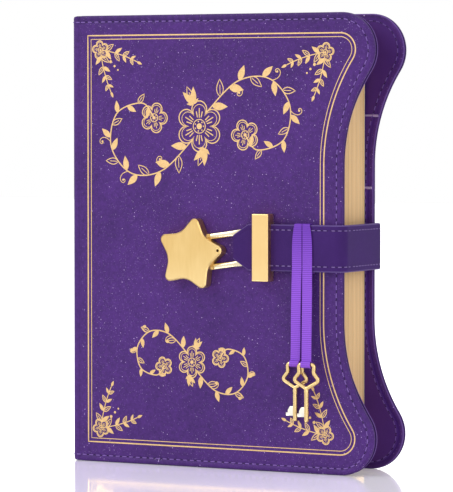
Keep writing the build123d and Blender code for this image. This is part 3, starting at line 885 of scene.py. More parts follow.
class Finish(Enum):
    """Every finish on the diary."""

    # The covers' leathers have painted shade at the head.
    COVER = Leather("glitter_cover", tint(85, 46, 130), tint(63, 33, 101), glitter=0.24, mottle=1.8,
                    painted_head_shade=0.75)
    # Lighter leather on the rolled edge's nose: partly wear, partly painted highlight.
    EDGE_WEAR_AND_HIGHLIGHT = Leather("worn_edge", tint(112, 80, 156), tint(90, 58, 132), grain=0.5)
    # Darker leather in the edge's groove: partly a dark glue line, partly painted shade.
    GROOVE_SHADE = Leather("edge_groove", tint(52, 26, 88), tint(40, 18, 70), grain=0.5, shine=0.1)
    CASE = Leather("plain_case", tint(85, 46, 130), tint(63, 33, 101), mottle=1.8, painted_head_shade=0.75)
    STRAP = Leather("fine_strap", tint(70, 39, 113), tint(54, 29, 90), grain=0.55, shine=0.1)
    LINING = Leather("smooth_lining", tint(78, 40, 124), tint(60, 29, 100), grain=0.5, depth=0.025, rough=0.5)
    POCKET = Leather("smooth_pocket", tint(84, 45, 131), tint(65, 33, 106), grain=0.5, depth=0.025)
    # Lighter beads along the strap's edges: partly edge paint, partly painted highlight.
    STRAP_EDGE_PAINT_AND_HIGHLIGHT = Leather("painted_edge", tint(112, 90, 152), tint(90, 68, 130), grain=0.4, shine=0.15)
    # The pockets' hems are pale: painted highlight.
    POCKET_EDGE_HIGHLIGHT = Leather("bound_edge", tint(172, 152, 200), tint(138, 116, 170), grain=0.4)
    COVER_THREAD = Thread("cover_thread", tint(160, 126, 206), tint(118, 86, 168))
    INNER_THREAD = Thread("inner_thread", tint(124, 92, 172), tint(88, 60, 134))
    STRAP_THREAD = Thread("strap_thread", tint(156, 130, 196), tint(114, 90, 154))
    # Dark discs in the needle holes: painted shade.
    HOLE_SHADE = Thread("needle_hole", tint(36, 18, 62), tint(24, 12, 44))
    PAGE_EDGES = PageEdges("page_edges", tint(255, 216, 164), tint(222, 176, 122), tint(250, 206, 136))
    LEAF = Paper("plain_leaf", tint(240, 226, 196), tint(228, 210, 176))
    RULED = Paper("ruled_paper", tint(242, 230, 202), tint(232, 216, 184), ruled=True)
    GOLD = Plate("gold_plate", tint(255, 227, 166), tint(222, 182, 110))
    # The star and the bar have a painted reflection, darker upwards.
    STAR = Plate("star_plate", tint(255, 227, 166), tint(222, 182, 110), painted_reflection_span=(86.0, 117.0))
    BAR = Plate("bar_plate", tint(255, 222, 160), tint(244, 205, 136), rough=0.26, painted_reflection_span=(89.0, 121.0))
    PRONG = Plate("prong_plate", tint(248, 236, 208), tint(230, 212, 172), rough=0.22,
                  brush=(120.0, 900.0, 900.0))
    KEY = Plate("key_plate", tint(253, 228, 172), tint(228, 192, 126), rough=0.2)
    # The bit is near white: a painted highlight that stands in for its glint.
    BIT_GLINT = Plate("bit_plate", tint(255, 252, 242), tint(250, 244, 228), rough=0.3)
    # A dark disc in the eyelet's bore: painted shade.
    BORE_SHADE = Plate("dark_bore", tint(70, 44, 18), tint(48, 30, 12), rough=0.6)
    STEEL = Plate("bright_steel", tint(206, 206, 210), tint(168, 168, 174), rough=0.28)
    FOIL = Foil("gold_foil", tint(250, 214, 156), tint(218, 172, 112))
    RIBBON = Ribbed("violet_ribbon", tint(158, 92, 232), tint(104, 50, 176))
    BOARD = Woven("grey_board", tint(170, 158, 140), tint(142, 130, 114), thread=1.4)
    CLOTH = Woven("open_cloth", tint(226, 220, 204), tint(196, 188, 168))
    BAND = Woven("striped_band", tint(172, 128, 224), tint(88, 46, 140), stripes=1.96)

    @functools.cache
    def material(self) -> bpy.types.Material:
        """The finish's material, made the first time it is asked for."""
        return self.value.material()


def sew(shape: Shape, track: Track, pitch: float, length: float, radius: float, start: float = 0.0,
        thread: int = 0, hole: int = 1, hole_size: float = 1.25) -> None:
    """Lay a row of stitches along a track, each dipping into a needle hole at both ends.

    Args:
        shape: the mesh that takes them.
        track: the seam's line.
        pitch: the distance from one stitch to the next.
        length: a stitch's length.
        radius: the thread's radius.
        start: where the first one starts.
        thread, hole: the finishes of the thread and of the holes, whose dark colour is painted shade.
        hole_size: a hole's radius as a share of the thread's.
    """
    # A stitch's cross-sections: share of the length, and lift and size in radii.
    stations = ((0.0, -0.5, 0.5), (0.14, 0.35, 0.9), (0.5, 0.62, 1.0), (0.86, 0.35, 0.9), (1.0, -0.5, 0.5))
    ring = circle(7)
    beyond, floor, rim = 0.12, -0.1, 0.03
    reach = radius * hole_size
    place_at = start
    while place_at + length < track.length:
        rows = []
        for share, lift, swell in stations:
            point, ahead, normal = track.at(place_at + share * length)
            side = ahead.cross(normal)
            middle = point + normal * lift * radius
            rows.append([middle + (side * math.cos(a) + normal * math.sin(a)) * radius * swell for a in ring])
        shape.tube(rows, thread)
        # Each needle hole is a dark disc: painted shade.
        for end in (place_at - beyond, place_at + length + beyond):
            point, ahead, normal = track.at(end)
            side = ahead.cross(normal)
            disc = [(ahead * math.cos(a) + side * math.sin(a)) * reach for a in ring]
            shape.tube([[point + normal * rise + spoke for spoke in disc] for rise in (floor, rim)], hole)
        place_at += pitch


@dataclass(frozen=True)
class Outline:
    """The covers' outline: straight at the joint, waved in from two lobes to a waist at the fore-edge."""

    height: float = 215.0
    joint: float = 5.0
    lobe_radius: float = 17.3
    lobe: Flat = (144.2, 197.7)
    waist: Flat = (145.3, 143.9)
    waist_radius: float = 80.0
    slope: float = 33.56

    def edge(self, inset: float, joint: Optional[float] = None) -> list[Flat]:
        """The outline's three free sides, a distance inside the edge.

        Args:
            inset: the distance inside the edge.
            joint: where the line starts and ends in x, if not at the joint.

        Returns:
            x and z from the joint's lower end, along the fore-edge, to its upper end.
        """
        left = self.joint if joint is None else joint
        x, z = self.lobe
        hollow = (self.waist[0] + self.waist_radius, self.waist[1])
        tight, wide = self.lobe_radius - inset, self.waist_radius + inset
        upper = chain(
            arc(hollow, wide, 180, 180 - self.slope, 18),
            arc((x, z), tight, -self.slope, 90, 26),
            straight((x, self.height - inset), (left, self.height - inset), 30),
        )
        lower = [(p[0], self.height - p[1]) for p in reversed(upper)]
        return chain(lower, straight(lower[-1], upper[0], 14), upper)


@dataclass(frozen=True)
class Seam:
    """A seam round a cover: its place, the way it faces, and the finish and needle holes it is sewn with."""

    inset: float
    depth: float
    joint: float
    toward: float
    thread: int
    hole_size: float


@dataclass
class Covers:
    """Both covers' padded skins with their rolled edges and seams, the spine's skin and its two folds.

    The edge's profiles hold the distance inside the outline, the depth, and the share of the gathering at the
    lobes. A dent at a corner has its depth, its reach in height and its spread.
    """

    outline: Outline = field(default_factory=Outline)
    thickness: float = 36.0
    outer_seam: Seam = Seam(inset=3.1, depth=0.22, joint=5.0, toward=-1.0, thread=0, hole_size=1.6)
    inner_seam: Seam = Seam(inset=3.4, depth=3.2, joint=7.0, toward=1.0, thread=2, hole_size=1.15)
    pitch: float = 3.7
    stitch: float = 2.5
    thread: float = 0.28
    sunk: float = 0.14
    seam_start: float = 0.4
    end_seam_start: float = 0.5
    skin_depth: float = 0.75
    corner: Flat = (0.29, 1.33)
    dent: Triple = (1.6, 4.0, 1.1)
    crease: float = 0.24
    fold_start: float = 5.1
    fold_radius: float = 2.5
    fold_groove: Flat = (4.2, 0.45)
    fold_ends: Flat = (0.3, 0.55)
    fold_run: float = 1.5
    fold_pivots: tuple[Flat, Flat] = ((0.4, 4.0), (5.0, 0.4))
    spine_span: Flat = (4.1, 31.9)
    spine_groove: Flat = (1.3, 0.5)
    spine_ends: tuple[Flat, Flat] = ((0.45, 0.0), (0.13, 0.13))
    spine_turned: float = 2.7
    crown: float = 0.3
    pocket_left: float = 34.0
    pocket_steps: tuple[Flat, ...] = ((133.0, 31.8), (167.0, 32.3))
    gathered: Flat = (2.1, 0.5)
    lobe_span: Flat = (147.0, 157.0)
    turned_in: Profile = (
        (2.2, 2.86, 0.0), (2.05, 2.88, 0.5), (1.7, 2.88, 0.85), (1.2, 2.88, 1.0), (0.75, 2.86, 0.98),
        (0.42, 2.83, 0.93))
    nose: Profile = (
        (0.42, 2.83, 0.93), (0.22, 2.76, 0.86), (0.08, 2.66, 0.78), (0.0, 2.46, 0.66), (0.08, 2.26, 0.56))
    groove: Profile = ((0.08, 2.26, 0.56), (0.8, 2.06, 0.5), (0.8, 1.76, 0.26), (0.08, 1.54, 0.2))
    rolled: Profile = (
        (0.08, 1.54, 0.2), (0.0, 1.26, 0.14), (0.05, 0.8, 0.06), (0.22, 0.36, 0.0), (0.5, 0.02, 0.0),
        (0.9, -0.24, 0.0), (1.4, -0.36, 0.0), (1.95, -0.3, 0.0), (2.45, -0.08, 0.0), (2.8, 0.16, 0.0),
        (3.1, 0.26, 0.0), (3.4, 0.16, 0.0), (3.85, 0.04, 0.0), (4.6, 0.0, 0.0), (6.0, 0.0, 0.0))

    def depth(self, y: float, back: bool) -> float:
        """A depth in one cover: from the front cover's face, or mirrored from the back's."""
        return self.thickness - y if back else y

    def sewn_face(self, x: float, z: float) -> float:
        """The depth of the face that the back cover's inner seam lies on: a pocket's, or the lining's."""
        steps = [y for top, y in self.pocket_steps if x >= self.pocket_left and z < top]
        return steps[0] if steps else self.thickness - self.inner_seam.depth

    def plump(self, x: float, back: bool) -> float:
        """How much thicker a cover's turned-in edge is, since the skin is gathered round the lobes.

        Args:
            x: the place across the cover.
            back: whether it is the back cover.

        Returns:
            The added thickness.
        """
        low, high = self.lobe_span
        share = min(max((x - low) / (high - low), 0.0), 1.0)
        return self.gathered[back] * share * share * (3 - 2 * share)

    def skin(self, name: str, back: bool) -> bpy.types.Object:
        """A cover's skin, rolled round its free edges and turned in.

        Args:
            name: the piece's name.
            back: whether it is the back cover.

        Returns:
            The piece.
        """
        shape = Shape()
        joint: list[tuple[Point, Point]] = []
        # The nose (mark 1) is lighter, partly wear and partly painted highlight; the groove (mark 2) is darker, partly
        # a glue line and partly painted shade.
        for mark, profile in ((0, self.turned_in), (1, self.nose), (2, self.groove), (0, self.rolled)):
            rows = []
            for inset, y, share in profile:
                edge = self.outline.edge(inset)
                rows.append([(x, self.depth(y + share * self.plump(x, back), back), z) for x, z in edge])
            shape.skin(rows, mark=mark)
            joint += [(row[0], row[-1]) for row in rows]
            if not mark:
                shape.lid(rows[0] if profile is self.turned_in else rows[-1])
        shape.lid([low for low, _ in joint] + [high for _, high in reversed(joint)])
        # The groove's finish is darker: partly a dark glue line, partly painted shade.
        finishes = [Finish.COVER.material(), Finish.EDGE_WEAR_AND_HIGHLIGHT.material(), Finish.GROOVE_SHADE.material()]
        return shape.piece(name, finishes, crease=60)

    def seams(self, name: str, back: bool) -> bpy.types.Object:
        """The seam round a cover, outside and inside.

        Args:
            name: the piece's name.
            back: whether it is the back cover.

        Returns:
            The piece.
        """
        shape = Shape()
        for seam in (self.outer_seam, self.inner_seam):
            line = self.outline.edge(seam.inset, joint=seam.joint)
            points = [(x, self.depth(seam.depth, back), z) for x, z in line]
            if back and seam is self.inner_seam:
                points = [(x, self.sewn_face(x, z), z) for x, z in line]
            normal = (0.0, -seam.toward if back else seam.toward, 0.0)
            track = Track(points, [normal] * len(points))
            sew(shape, track, self.pitch, self.stitch, self.thread, start=self.seam_start, thread=seam.thread,
                hole_size=seam.hole_size)
        return shape.piece(name, [Finish.COVER_THREAD.material(), Finish.HOLE_SHADE.material(),
                                  Finish.INNER_THREAD.material()])

    def pressed(self, at: float, groove: float, width: float) -> float:
        """How deep a pressed groove is at a distance along the skin."""
        return self.crease * math.exp(-((at - groove) / width) ** 2)

    def dented(self, x: float, y: float, z: float) -> float:
        """A height on a fold, drawn in at both ends where the skin turns the corner.

        Args:
            x, y: the place on the fold's section.
            z: the height without a dent.

        Returns:
            The height.
        """
        depth, reach, spread = self.dent
        deep = depth * math.exp(-(math.dist((x, y), self.corner) / spread) ** 2)
        top = self.outline.height
        return z + deep * (max(0.0, 1 - z / reach) - max(0.0, 1 - (top - z) / reach))

    def fold(self, name: str, back: bool) -> bpy.types.Object:
        """The skin strip at one of the spine's corners, with a pressed groove along the cover's joint.

        Args:
            name: the piece's name.
            back: whether it is the back corner.

        Returns:
            The piece.
        """
        r, thin = self.fold_radius, self.skin_depth
        start, end = self.fold_start, self.spine_span[0]
        flat = [(x, self.pressed(x, *self.fold_groove)) for x in spaced(start, r, 14)]
        outer = chain(flat, arc((r, r), r, 270, 180, 10), straight((0.0, r), (0.0, end), 4))
        inner = chain(straight((start, thin), (r, thin), 6), arc((r, r), r - thin, 270, 180, 10),
                      straight((thin, r), (thin, end), 4))
        top = self.outline.height
        heights = [*self.fold_ends, *spaced(self.fold_run, top - self.fold_run, 20),
                   *[top - z for z in reversed(self.fold_ends)]]
        shape = Shape()
        shape.tube([[(x, self.depth(y, back), self.dented(x, y, z)) for x, y in outer + inner[::-1]]
                    for z in heights])
        line, out = [], []
        for x, y in outer:
            faces = Vector((x - r, min(y - r, 0.0))).normalized() if x < r else Vector((0.0, -1.0))
            line.append((x, self.depth(y, back)))
            out.append((faces.x, -faces.y if back else faces.y))
        self.end_seams(shape, line, out)
        return shape.piece(name, self.sewn_finishes(), crease=60)

    def end_seams(self, shape: Shape, line: Sequence[Flat], out: Sequence[Flat]) -> None:
        """Carry the outer seam along a line at the head and at the tail.

        Args:
            shape: the mesh that takes the stitches.
            line: x and y along the face.
            out: the face's normal at each point.
        """
        seam = self.outer_seam
        for z in (seam.inset, self.outline.height - seam.inset):
            sunk = [(x - dx * self.sunk, y - dy * self.sunk, z) for (x, y), (dx, dy) in zip(line, out)]
            track = Track(sunk, [(dx, dy, 0.0) for dx, dy in out])
            sew(shape, track, self.pitch, self.stitch, self.thread, start=self.end_seam_start, thread=1,
                hole=2, hole_size=seam.hole_size)

    def sewn_finishes(self) -> list[bpy.types.Material]:
        """The finishes of a plain skin with a seam on it."""
        return [Finish.CASE.material(), Finish.COVER_THREAD.material(), Finish.HOLE_SHADE.material()]

    def spine(self) -> bpy.types.Object:
        """The spine's skin: faintly crowned, pressed in along both corners, and turned over the board's ends.

        Returns:
            The piece.
        """
        (low, high), (inset, width) = self.spine_span, self.spine_groove
        top, thin, turned = self.outline.height, self.skin_depth, self.spine_turned
        head = [(turned, top), (turned, top - thin), (thin, top - thin)]
        inside = head + [(x, top - z) for x, z in reversed(head)]
        soft = self.spine_ends[0][0]
        rows, line = [], []
        for y in spaced(low, high, 60):
            face = self.pressed(y, low + inset, width) + self.pressed(y, high - inset, width)
            face -= self.crown * math.sin(math.pi * (y - low) / (high - low))
            foot = [(face + x, z) for x, z in self.spine_ends]
            run = [(face, z) for z in spaced(soft, top - soft, 40)]
            loop = [*foot, *run, *[(x, top - z) for x, z in reversed(foot)], *inside]
            rows.append([(x, y, z) for x, z in loop])
            line.append((face, y))
        shape = Shape()
        shape.tube(rows)
        self.end_seams(shape, line, [(-1.0, 0.0)] * len(line))
        return shape.piece("spine_wrap", self.sewn_finishes(), crease=50)

    def dress(self) -> None:
        """Build the covers' pieces and put them on their bodies."""
        for side, body, back in (("front", "front_cover", False), ("back", "book", True)):
            skin = self.skin(f"{side}_padded_skin", back)
            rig.replaces(skin, f"{side}_cover_skin")
            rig.slot(skin, "cover_leather")
            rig.ride(skin, body)
            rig.ride(self.seams(f"{side}_cover_seams", back), body)
        strip = self.fold("front_fold", False)
        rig.replaces(strip, "front_hinge")
        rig.slot(strip, "cover_leather")
        start, end = (place((x, y, self.outline.height / 2)) for x, y in self.fold_pivots)
        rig.blend(strip, "book", "front_cover", start=start, end=end)
        for piece, node in ((self.fold("back_fold", True), "back_hinge"), (self.spine(), "spine_skin")):
            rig.replaces(piece, node)
            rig.slot(piece, "cover_leather")
            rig.ride(piece, "book")


@dataclass
class TextBlock:
    """The leaves of each folded section, the bands at its ends, and the hems of the card pockets."""

    sections: int = 8
    leaves: int = 13
    left: float = 4.25
    right: float = 141.5
    low: float = 3.5
    high: float = 211.5
    front: float = 3.85
    rear: float = 31.4
    gap: float = 0.025
    uneven: float = 0.16
    rounding: float = 0.5
    seed: int = 7
    band_x: float = 5.4
    band_start: float = 3.95
    band_length: float = 27.3
    band_radius: float = 1.02
    band_thread: float = 0.16
    band_flat: float = 0.5
    wraps: int = 28
    hem_half: Flat = (0.32, 0.6)
    hem_inset: float = 0.4
    hem_ends: Flat = (148.1, 145.0)

    def section(self, number: int, chance: random.Random) -> bpy.types.Object:
        """One section's leaves, trimmed not quite evenly.

        Args:
            number: the section's number, from 1 at the front.
            chance: the source of unevenness.

        Returns:
            The piece.
        """
        depth = (self.rear - self.front) / self.sections
        leaf = depth / self.leaves
        shape = Shape()
        for n in range(self.leaves):
            y = self.front + (number - 1) * depth + n * leaf
            fold = self.rounding * (abs(2 * n - self.leaves + 1) / (self.leaves - 1)) ** 3
            low = (self.left + fold, y, self.low + chance.uniform(0, self.uneven))
            high = (self.right - chance.uniform(0, self.uneven), y + leaf - self.gap,
                    self.high - chance.uniform(0, self.uneven))
            shape.block(low, high, sides=0, faces=1)
        return shape.piece(f"leaves_{number}", [Finish.PAGE_EDGES.material(), Finish.RULED.material()])

    def band(self, name: str, z: float) -> bpy.types.Object:
        """A woven band over the folds' ends: a core wrapped in threads of two colours.

        Args:
            name: the piece's name.
            z: the height of its middle.

        Returns:
            The piece.
        """
        steps = 6 * self.wraps
        ring = [(math.cos(a), self.band_flat * math.sin(a)) for a in circle(12)]
        rows = []
        for n in range(steps + 1):
            y = self.band_start + self.band_length * n / steps
            radius = self.band_radius + self.band_thread * abs(math.sin(math.pi * self.wraps * n / steps))
            rows.append([(self.band_x + radius * u, y, z + radius * v) for u, v in ring])
        shape = Shape()
        shape.tube(rows)
        return shape.piece(name, [Finish.BAND.material()])

    def hem(self, name: str, y: float, z: float, left: float, right: float) -> bpy.types.Object:
        """The bound upper edge of a card pocket, pale with painted highlight.

        Args:
            name: the piece's name.
            y: the depth of the pocket's middle.
            z: the height of its edge.
            left, right: its ends.

        Returns:
            The piece.
        """
        deep, tall = self.hem_half
        ring = [(deep * math.sin(a), tall * math.cos(a)) for a in circle(10)]
        shape = Shape()
        shape.tube([[(x, y + v, z + w) for v, w in ring] for x in spaced(left, right, 40)])
        return shape.piece(name, [Finish.POCKET_EDGE_HIGHLIGHT.material()])

    def dress(self) -> None:
        """Build the text block's pieces and put them on the book."""
        chance = random.Random(self.seed)
        for number in range(1, self.sections + 1):
            leaves = self.section(number, chance)
            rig.replaces(leaves, f"section_{number}")
            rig.slot(leaves, "page_paper")
            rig.ride(leaves, "book")
        for name, node in (("head_threads", "headband"), ("tail_threads", "tailband")):
            low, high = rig.box(node)
            band = self.band(name, (low[2] + high[2]) / 2 / MM)
            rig.replaces(band, node)
            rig.slot(band, "band_cloth")
            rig.ride(band, "book")
        for pocket, right in zip(("tall", "short"), self.hem_ends):
            low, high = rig.box(f"card_pocket_{pocket}")
            left = low[0] / MM - SHIFT[0] + self.hem_inset
            middle = (low[1] + high[1]) / 2 / MM - SHIFT[1]
            hem = self.hem(f"{pocket}_pocket_hem", middle, high[2] / MM, left, right)
            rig.slot(hem, "lining_leather")
            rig.ride(hem, "book")


@dataclass
class Strap:
    """The edge-stitched strap, in three pieces where it is sewn on, flexes and swings.

    The section holds distances from the edge, and the rise there as a share of half the thickness.
    """

    middle: float = 105.4
    half_width: float = 10.8
    half_depth: float = 1.0
    seam: float = 2.4
    pitch: float = 3.1
    stitch: float = 2.0
    thread: float = 0.25
    seam_rise: float = 0.86
    seam_start: float = 0.6
    bead: Flat = (0.95, 0.5)
    bead_inset: float = 0.3
    back_end: float = 95.2
    end_radius: float = 6.0
    end_thin: float = 0.35
    rear_face: float = 37.0
    rear_bend: Flat = (145.2, 35.4)
    rear_radius: float = 1.6
    flex_start: float = 4.25
    flex_pivot: float = -0.5
    front_bend: Flat = (142.6, 1.45)
    bend_radius: float = 4.2
    side: float = 146.8
    front_run: float = 139.8
    front_face: float = -2.75
    tip: float = 89.7
    tip_cut: float = 5.4
    tip_thin: float = 0.45
    taper: float = 8.3
    section: tuple[Flat, ...] = ((0.0, 0.0), (0.05, 0.4), (0.22, 0.72), (0.55, 0.92), (1.1, 1.0), (1.8, 0.98),
                                 (2.15, 0.9), (2.4, 0.84), (2.65, 0.9), (3.1, 0.99), (4.6, 1.0))

    def ring(self, at: Flat, out: Flat, half: float, puff: float) -> list[Point]:
        """One closed cross-section of the strap.

        Args:
            at: x and y of its middle.
            out: the unit direction away from the book.
            half: its half width here.
            puff: its thickness here, as a share of the full one.

        Returns:
            Points round the section.
        """
        low = [(-half + inset, rise * self.half_depth * puff) for inset, rise in self.section]
        top = low + [(-s, h) for s, h in reversed(low)]
        loop = top + [(s, -h) for s, h in reversed(top)][1:-1]
        return [(at[0] + out[0] * h, at[1] + out[1] * h, self.middle + s) for s, h in loop]

    def band(self, name: str, stations: Sequence[Station], sewn: Optional[int] = None) -> bpy.types.Object:
        """A stretch of strap with its two seams on both faces.

        Args:
            name: the piece's name.
            stations: middle, outward direction, half width and thickness share along it.
            sewn: how many of them the seams follow, if not all.

        Returns:
            The piece.
        """
        shape = Shape()
        shape.tube([self.ring(*station) for station in stations])
        deep, wide = self.bead
        for edge in (-1.0, 1.0):
            rows = []
            for at, out, half, puff in stations:
                bead = [(deep * self.half_depth * puff * math.cos(a), wide * math.sin(a)) for a in circle(8)]
                rows.append([(at[0] + out[0] * h, at[1] + out[1] * h,
                              self.middle + edge * (half - self.bead_inset + s)) for h, s in bead])
            # The beads take the lighter edge finish: partly edge paint, partly painted highlight.
            shape.tube(rows, 3)
            for face in (-1.0, 1.0):
                points, normals = [], []
                for at, out, half, puff in stations[:sewn]:
                    rise = face * self.half_depth * self.seam_rise * puff
                    height = self.middle + edge * max(half - self.seam, 0.5)
                    points.append((at[0] + out[0] * rise, at[1] + out[1] * rise, height))
                    normals.append((out[0] * face, out[1] * face, 0.0))
                track = Track(points, normals)
                sew(shape, track, self.pitch, self.stitch, self.thread, self.seam_start, thread=1, hole=2)
        return shape.piece(name, [Finish.STRAP.material(), Finish.STRAP_THREAD.material(),
                                  Finish.HOLE_SHADE.material(), Finish.STRAP_EDGE_PAINT_AND_HIGHLIGHT.material()], crease=50)

    def bend(self, centre: Flat, radius: float, start: float, end: float, steps: int) -> list[Station]:
        """The strap round a bend, after the bend's first point.

        Args:
            centre: x and y of the bend's centre.
            radius: its radius.
            start, end: its angles in degrees.
            steps: how many pieces it is cut into.

        Returns:
            The stations.
        """
        stations = []
        for angle in spaced(start, end, steps)[1:]:
            out = stepped((0.0, 0.0), angle, 1.0)
            stations.append((stepped(centre, angle, radius), out, self.half_width, 1.0))
        return stations

    def rear(self) -> bpy.types.Object:
        """The part sewn to the back cover and the part across the fore-edge.

        Returns:
            The piece.
        """
        stations = []
        r = self.end_radius
        for x in spaced(self.back_end, self.rear_bend[0], 50):
            gone = x - self.back_end
            cut = r - math.sqrt(max(r ** 2 - (r - gone) ** 2, 0.0)) if gone < r else 0.0
            thick = min(1.0, self.end_thin + gone)
            stations.append(((x, self.rear_face), (0.0, 1.0), self.half_width - cut, thick))
        stations += self.bend(self.rear_bend, self.rear_radius, 90, 0, 8)
        for y in spaced(self.rear_bend[1], self.flex_start, 20)[1:]:
            stations.append(((self.side, y), (1.0, 0.0), self.half_width, 1.0))
        return self.band("strap_rear_band", stations)

    def flex(self) -> bpy.types.Object:
        """The part that bends at the front corner.

        Returns:
            The piece.
        """
        stations = []
        for y in spaced(self.flex_start, self.front_bend[1], 8):
            stations.append(((self.side, y), (1.0, 0.0), self.half_width, 1.0))
        stations += self.bend(self.front_bend, self.bend_radius, 0, -90, 16)
        for x in spaced(self.front_bend[0], self.front_run, 8)[1:]:
            stations.append(((x, self.front_face), (0.0, -1.0), self.half_width, 1.0))
        return self.band("strap_flex_band", stations)

    def front(self) -> bpy.types.Object:
        """The front part, which narrows to its tip under the bar.

        Returns:
            The piece.
        """
        stations = []
        for x in spaced(self.front_run, self.tip, 60):
            gone = x - self.tip
            half = self.half_width - self.tip_cut * max(0.0, 1 - gone / self.taper)
            stations.append(((x, self.front_face), (0.0, -1.0), half, min(1.0, self.tip_thin + gone)))
        full = sum(half > self.half_width - 0.01 for _, _, half, _ in stations)
        return self.band("strap_front_band", stations, sewn=full)

    def dress(self) -> None:
        """Build the strap's pieces and put them on their bodies."""
        rear, flex, front = self.rear(), self.flex(), self.front()
        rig.replaces(rear, "strap_back", "strap_side")
        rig.ride(rear, "book")
        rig.replaces(flex, "strap_bend")
        start = place((self.side, self.flex_pivot, self.middle))
        end = place((self.front_run, self.front_face, self.middle))
        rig.blend(flex, "book", "strap", start=start, end=end)
        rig.replaces(front, "strap_front")
        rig.ride(front, "strap")
        for piece in (rear, flex, front):
            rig.slot(piece, "strap_leather")


@dataclass
class LockTrim:
    """The rounded backs of the two prongs that carry the star, and the eyelet at the star's right tip.

    Each prong's reach holds its distance across the lock, and its start and end along it.
    """

    lock: Flat = (67.5, 101.4)
    tilt: float = 8.0
    half_width: float = 1.36
    low: float = 0.42
    top: float = 1.71
    crown: float = 0.75
    reaches: Profile = ((7.2, 9.7, 25.6), (-7.2, 9.7, 24.6))
    slopes: Flat = (0.8, 3.2)
    nose: float = 2.4
    eyelet_at: float = 15.6
    eyelet_radius: float = 0.86
    eyelet_wire: float = 0.2
    bore: Flat = (-0.05, 0.04)
    face: float = 5.9

    def on_lock(self, along: float, across: float, height: float) -> Point:
        """A point on the tilted lock.

        Args:
            along, across: its distances along and across the lock's axis.
            height: its height above the cover.

        Returns:
            The point.
        """
        turn = math.radians(self.tilt)
        return (self.lock[0] + along * math.cos(turn) - across * math.sin(turn), -height,
                self.lock[1] + along * math.sin(turn) + across * math.cos(turn))

    def eyelet(self) -> bpy.types.Object:
        """A small rolled ring on the star's face, with a dark disc painted as the shade in its bore.

        Returns:
            The piece.
        """
        turns = circle(24)
        radius, wire = self.eyelet_radius, self.eyelet_wire
        rows = []
        for a in turns:
            ring = [(radius + wire * math.cos(b), self.face + wire * math.sin(b)) for b in turns[::3]]
            rows.append([self.on_lock(self.eyelet_at + r * math.cos(a), r * math.sin(a), h) for r, h in ring])
        shape = Shape()
        shape.skin(rows, closed=True, ring=True)
        disc = [(self.eyelet_at + radius * math.cos(a), radius * math.sin(a)) for a in turns]
        # The bore is a dark disc: painted shade.
        shape.tube([[self.on_lock(u, v, self.face + rise) for u, v in disc] for rise in self.bore], 1)
        return shape.piece("tip_eyelet", [Finish.GOLD.material(), Finish.BORE_SHADE.material()], crease=50)

    def sleeves(self) -> bpy.types.Object:
        """Both prongs' rounded backs.

        Returns:
            The piece.
        """
        shape = Shape()
        first, last = self.slopes
        for across, start, end in self.reaches:
            rows = []
            for along in spaced(start, end + self.nose, 60):
                rise = min(1.0, (along - start) / first) * min(1.0, max(0.0, (end - along) / last)) ** 0.5
                row = [(-self.half_width, self.low)]
                for angle in spaced(math.pi, 0.0, 12):
                    up = self.top + self.crown * rise * math.sin(angle)
                    row.append((self.half_width * math.cos(angle), up))
                row.append((self.half_width, self.low))
                rows.append([self.on_lock(along, across + v, h) for v, h in row])
            shape.tube(rows)
        return shape.piece("prong_sleeves", [Finish.PRONG.material()], crease=50)

    def dress(self) -> None:
        """Build the sleeves and the eyelet and put them on the strap."""
        for piece, slot in ((self.sleeves(), "prong_metal"), (self.eyelet(), "gold_metal")):
            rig.slot(piece, slot)
            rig.ride(piece, "strap")


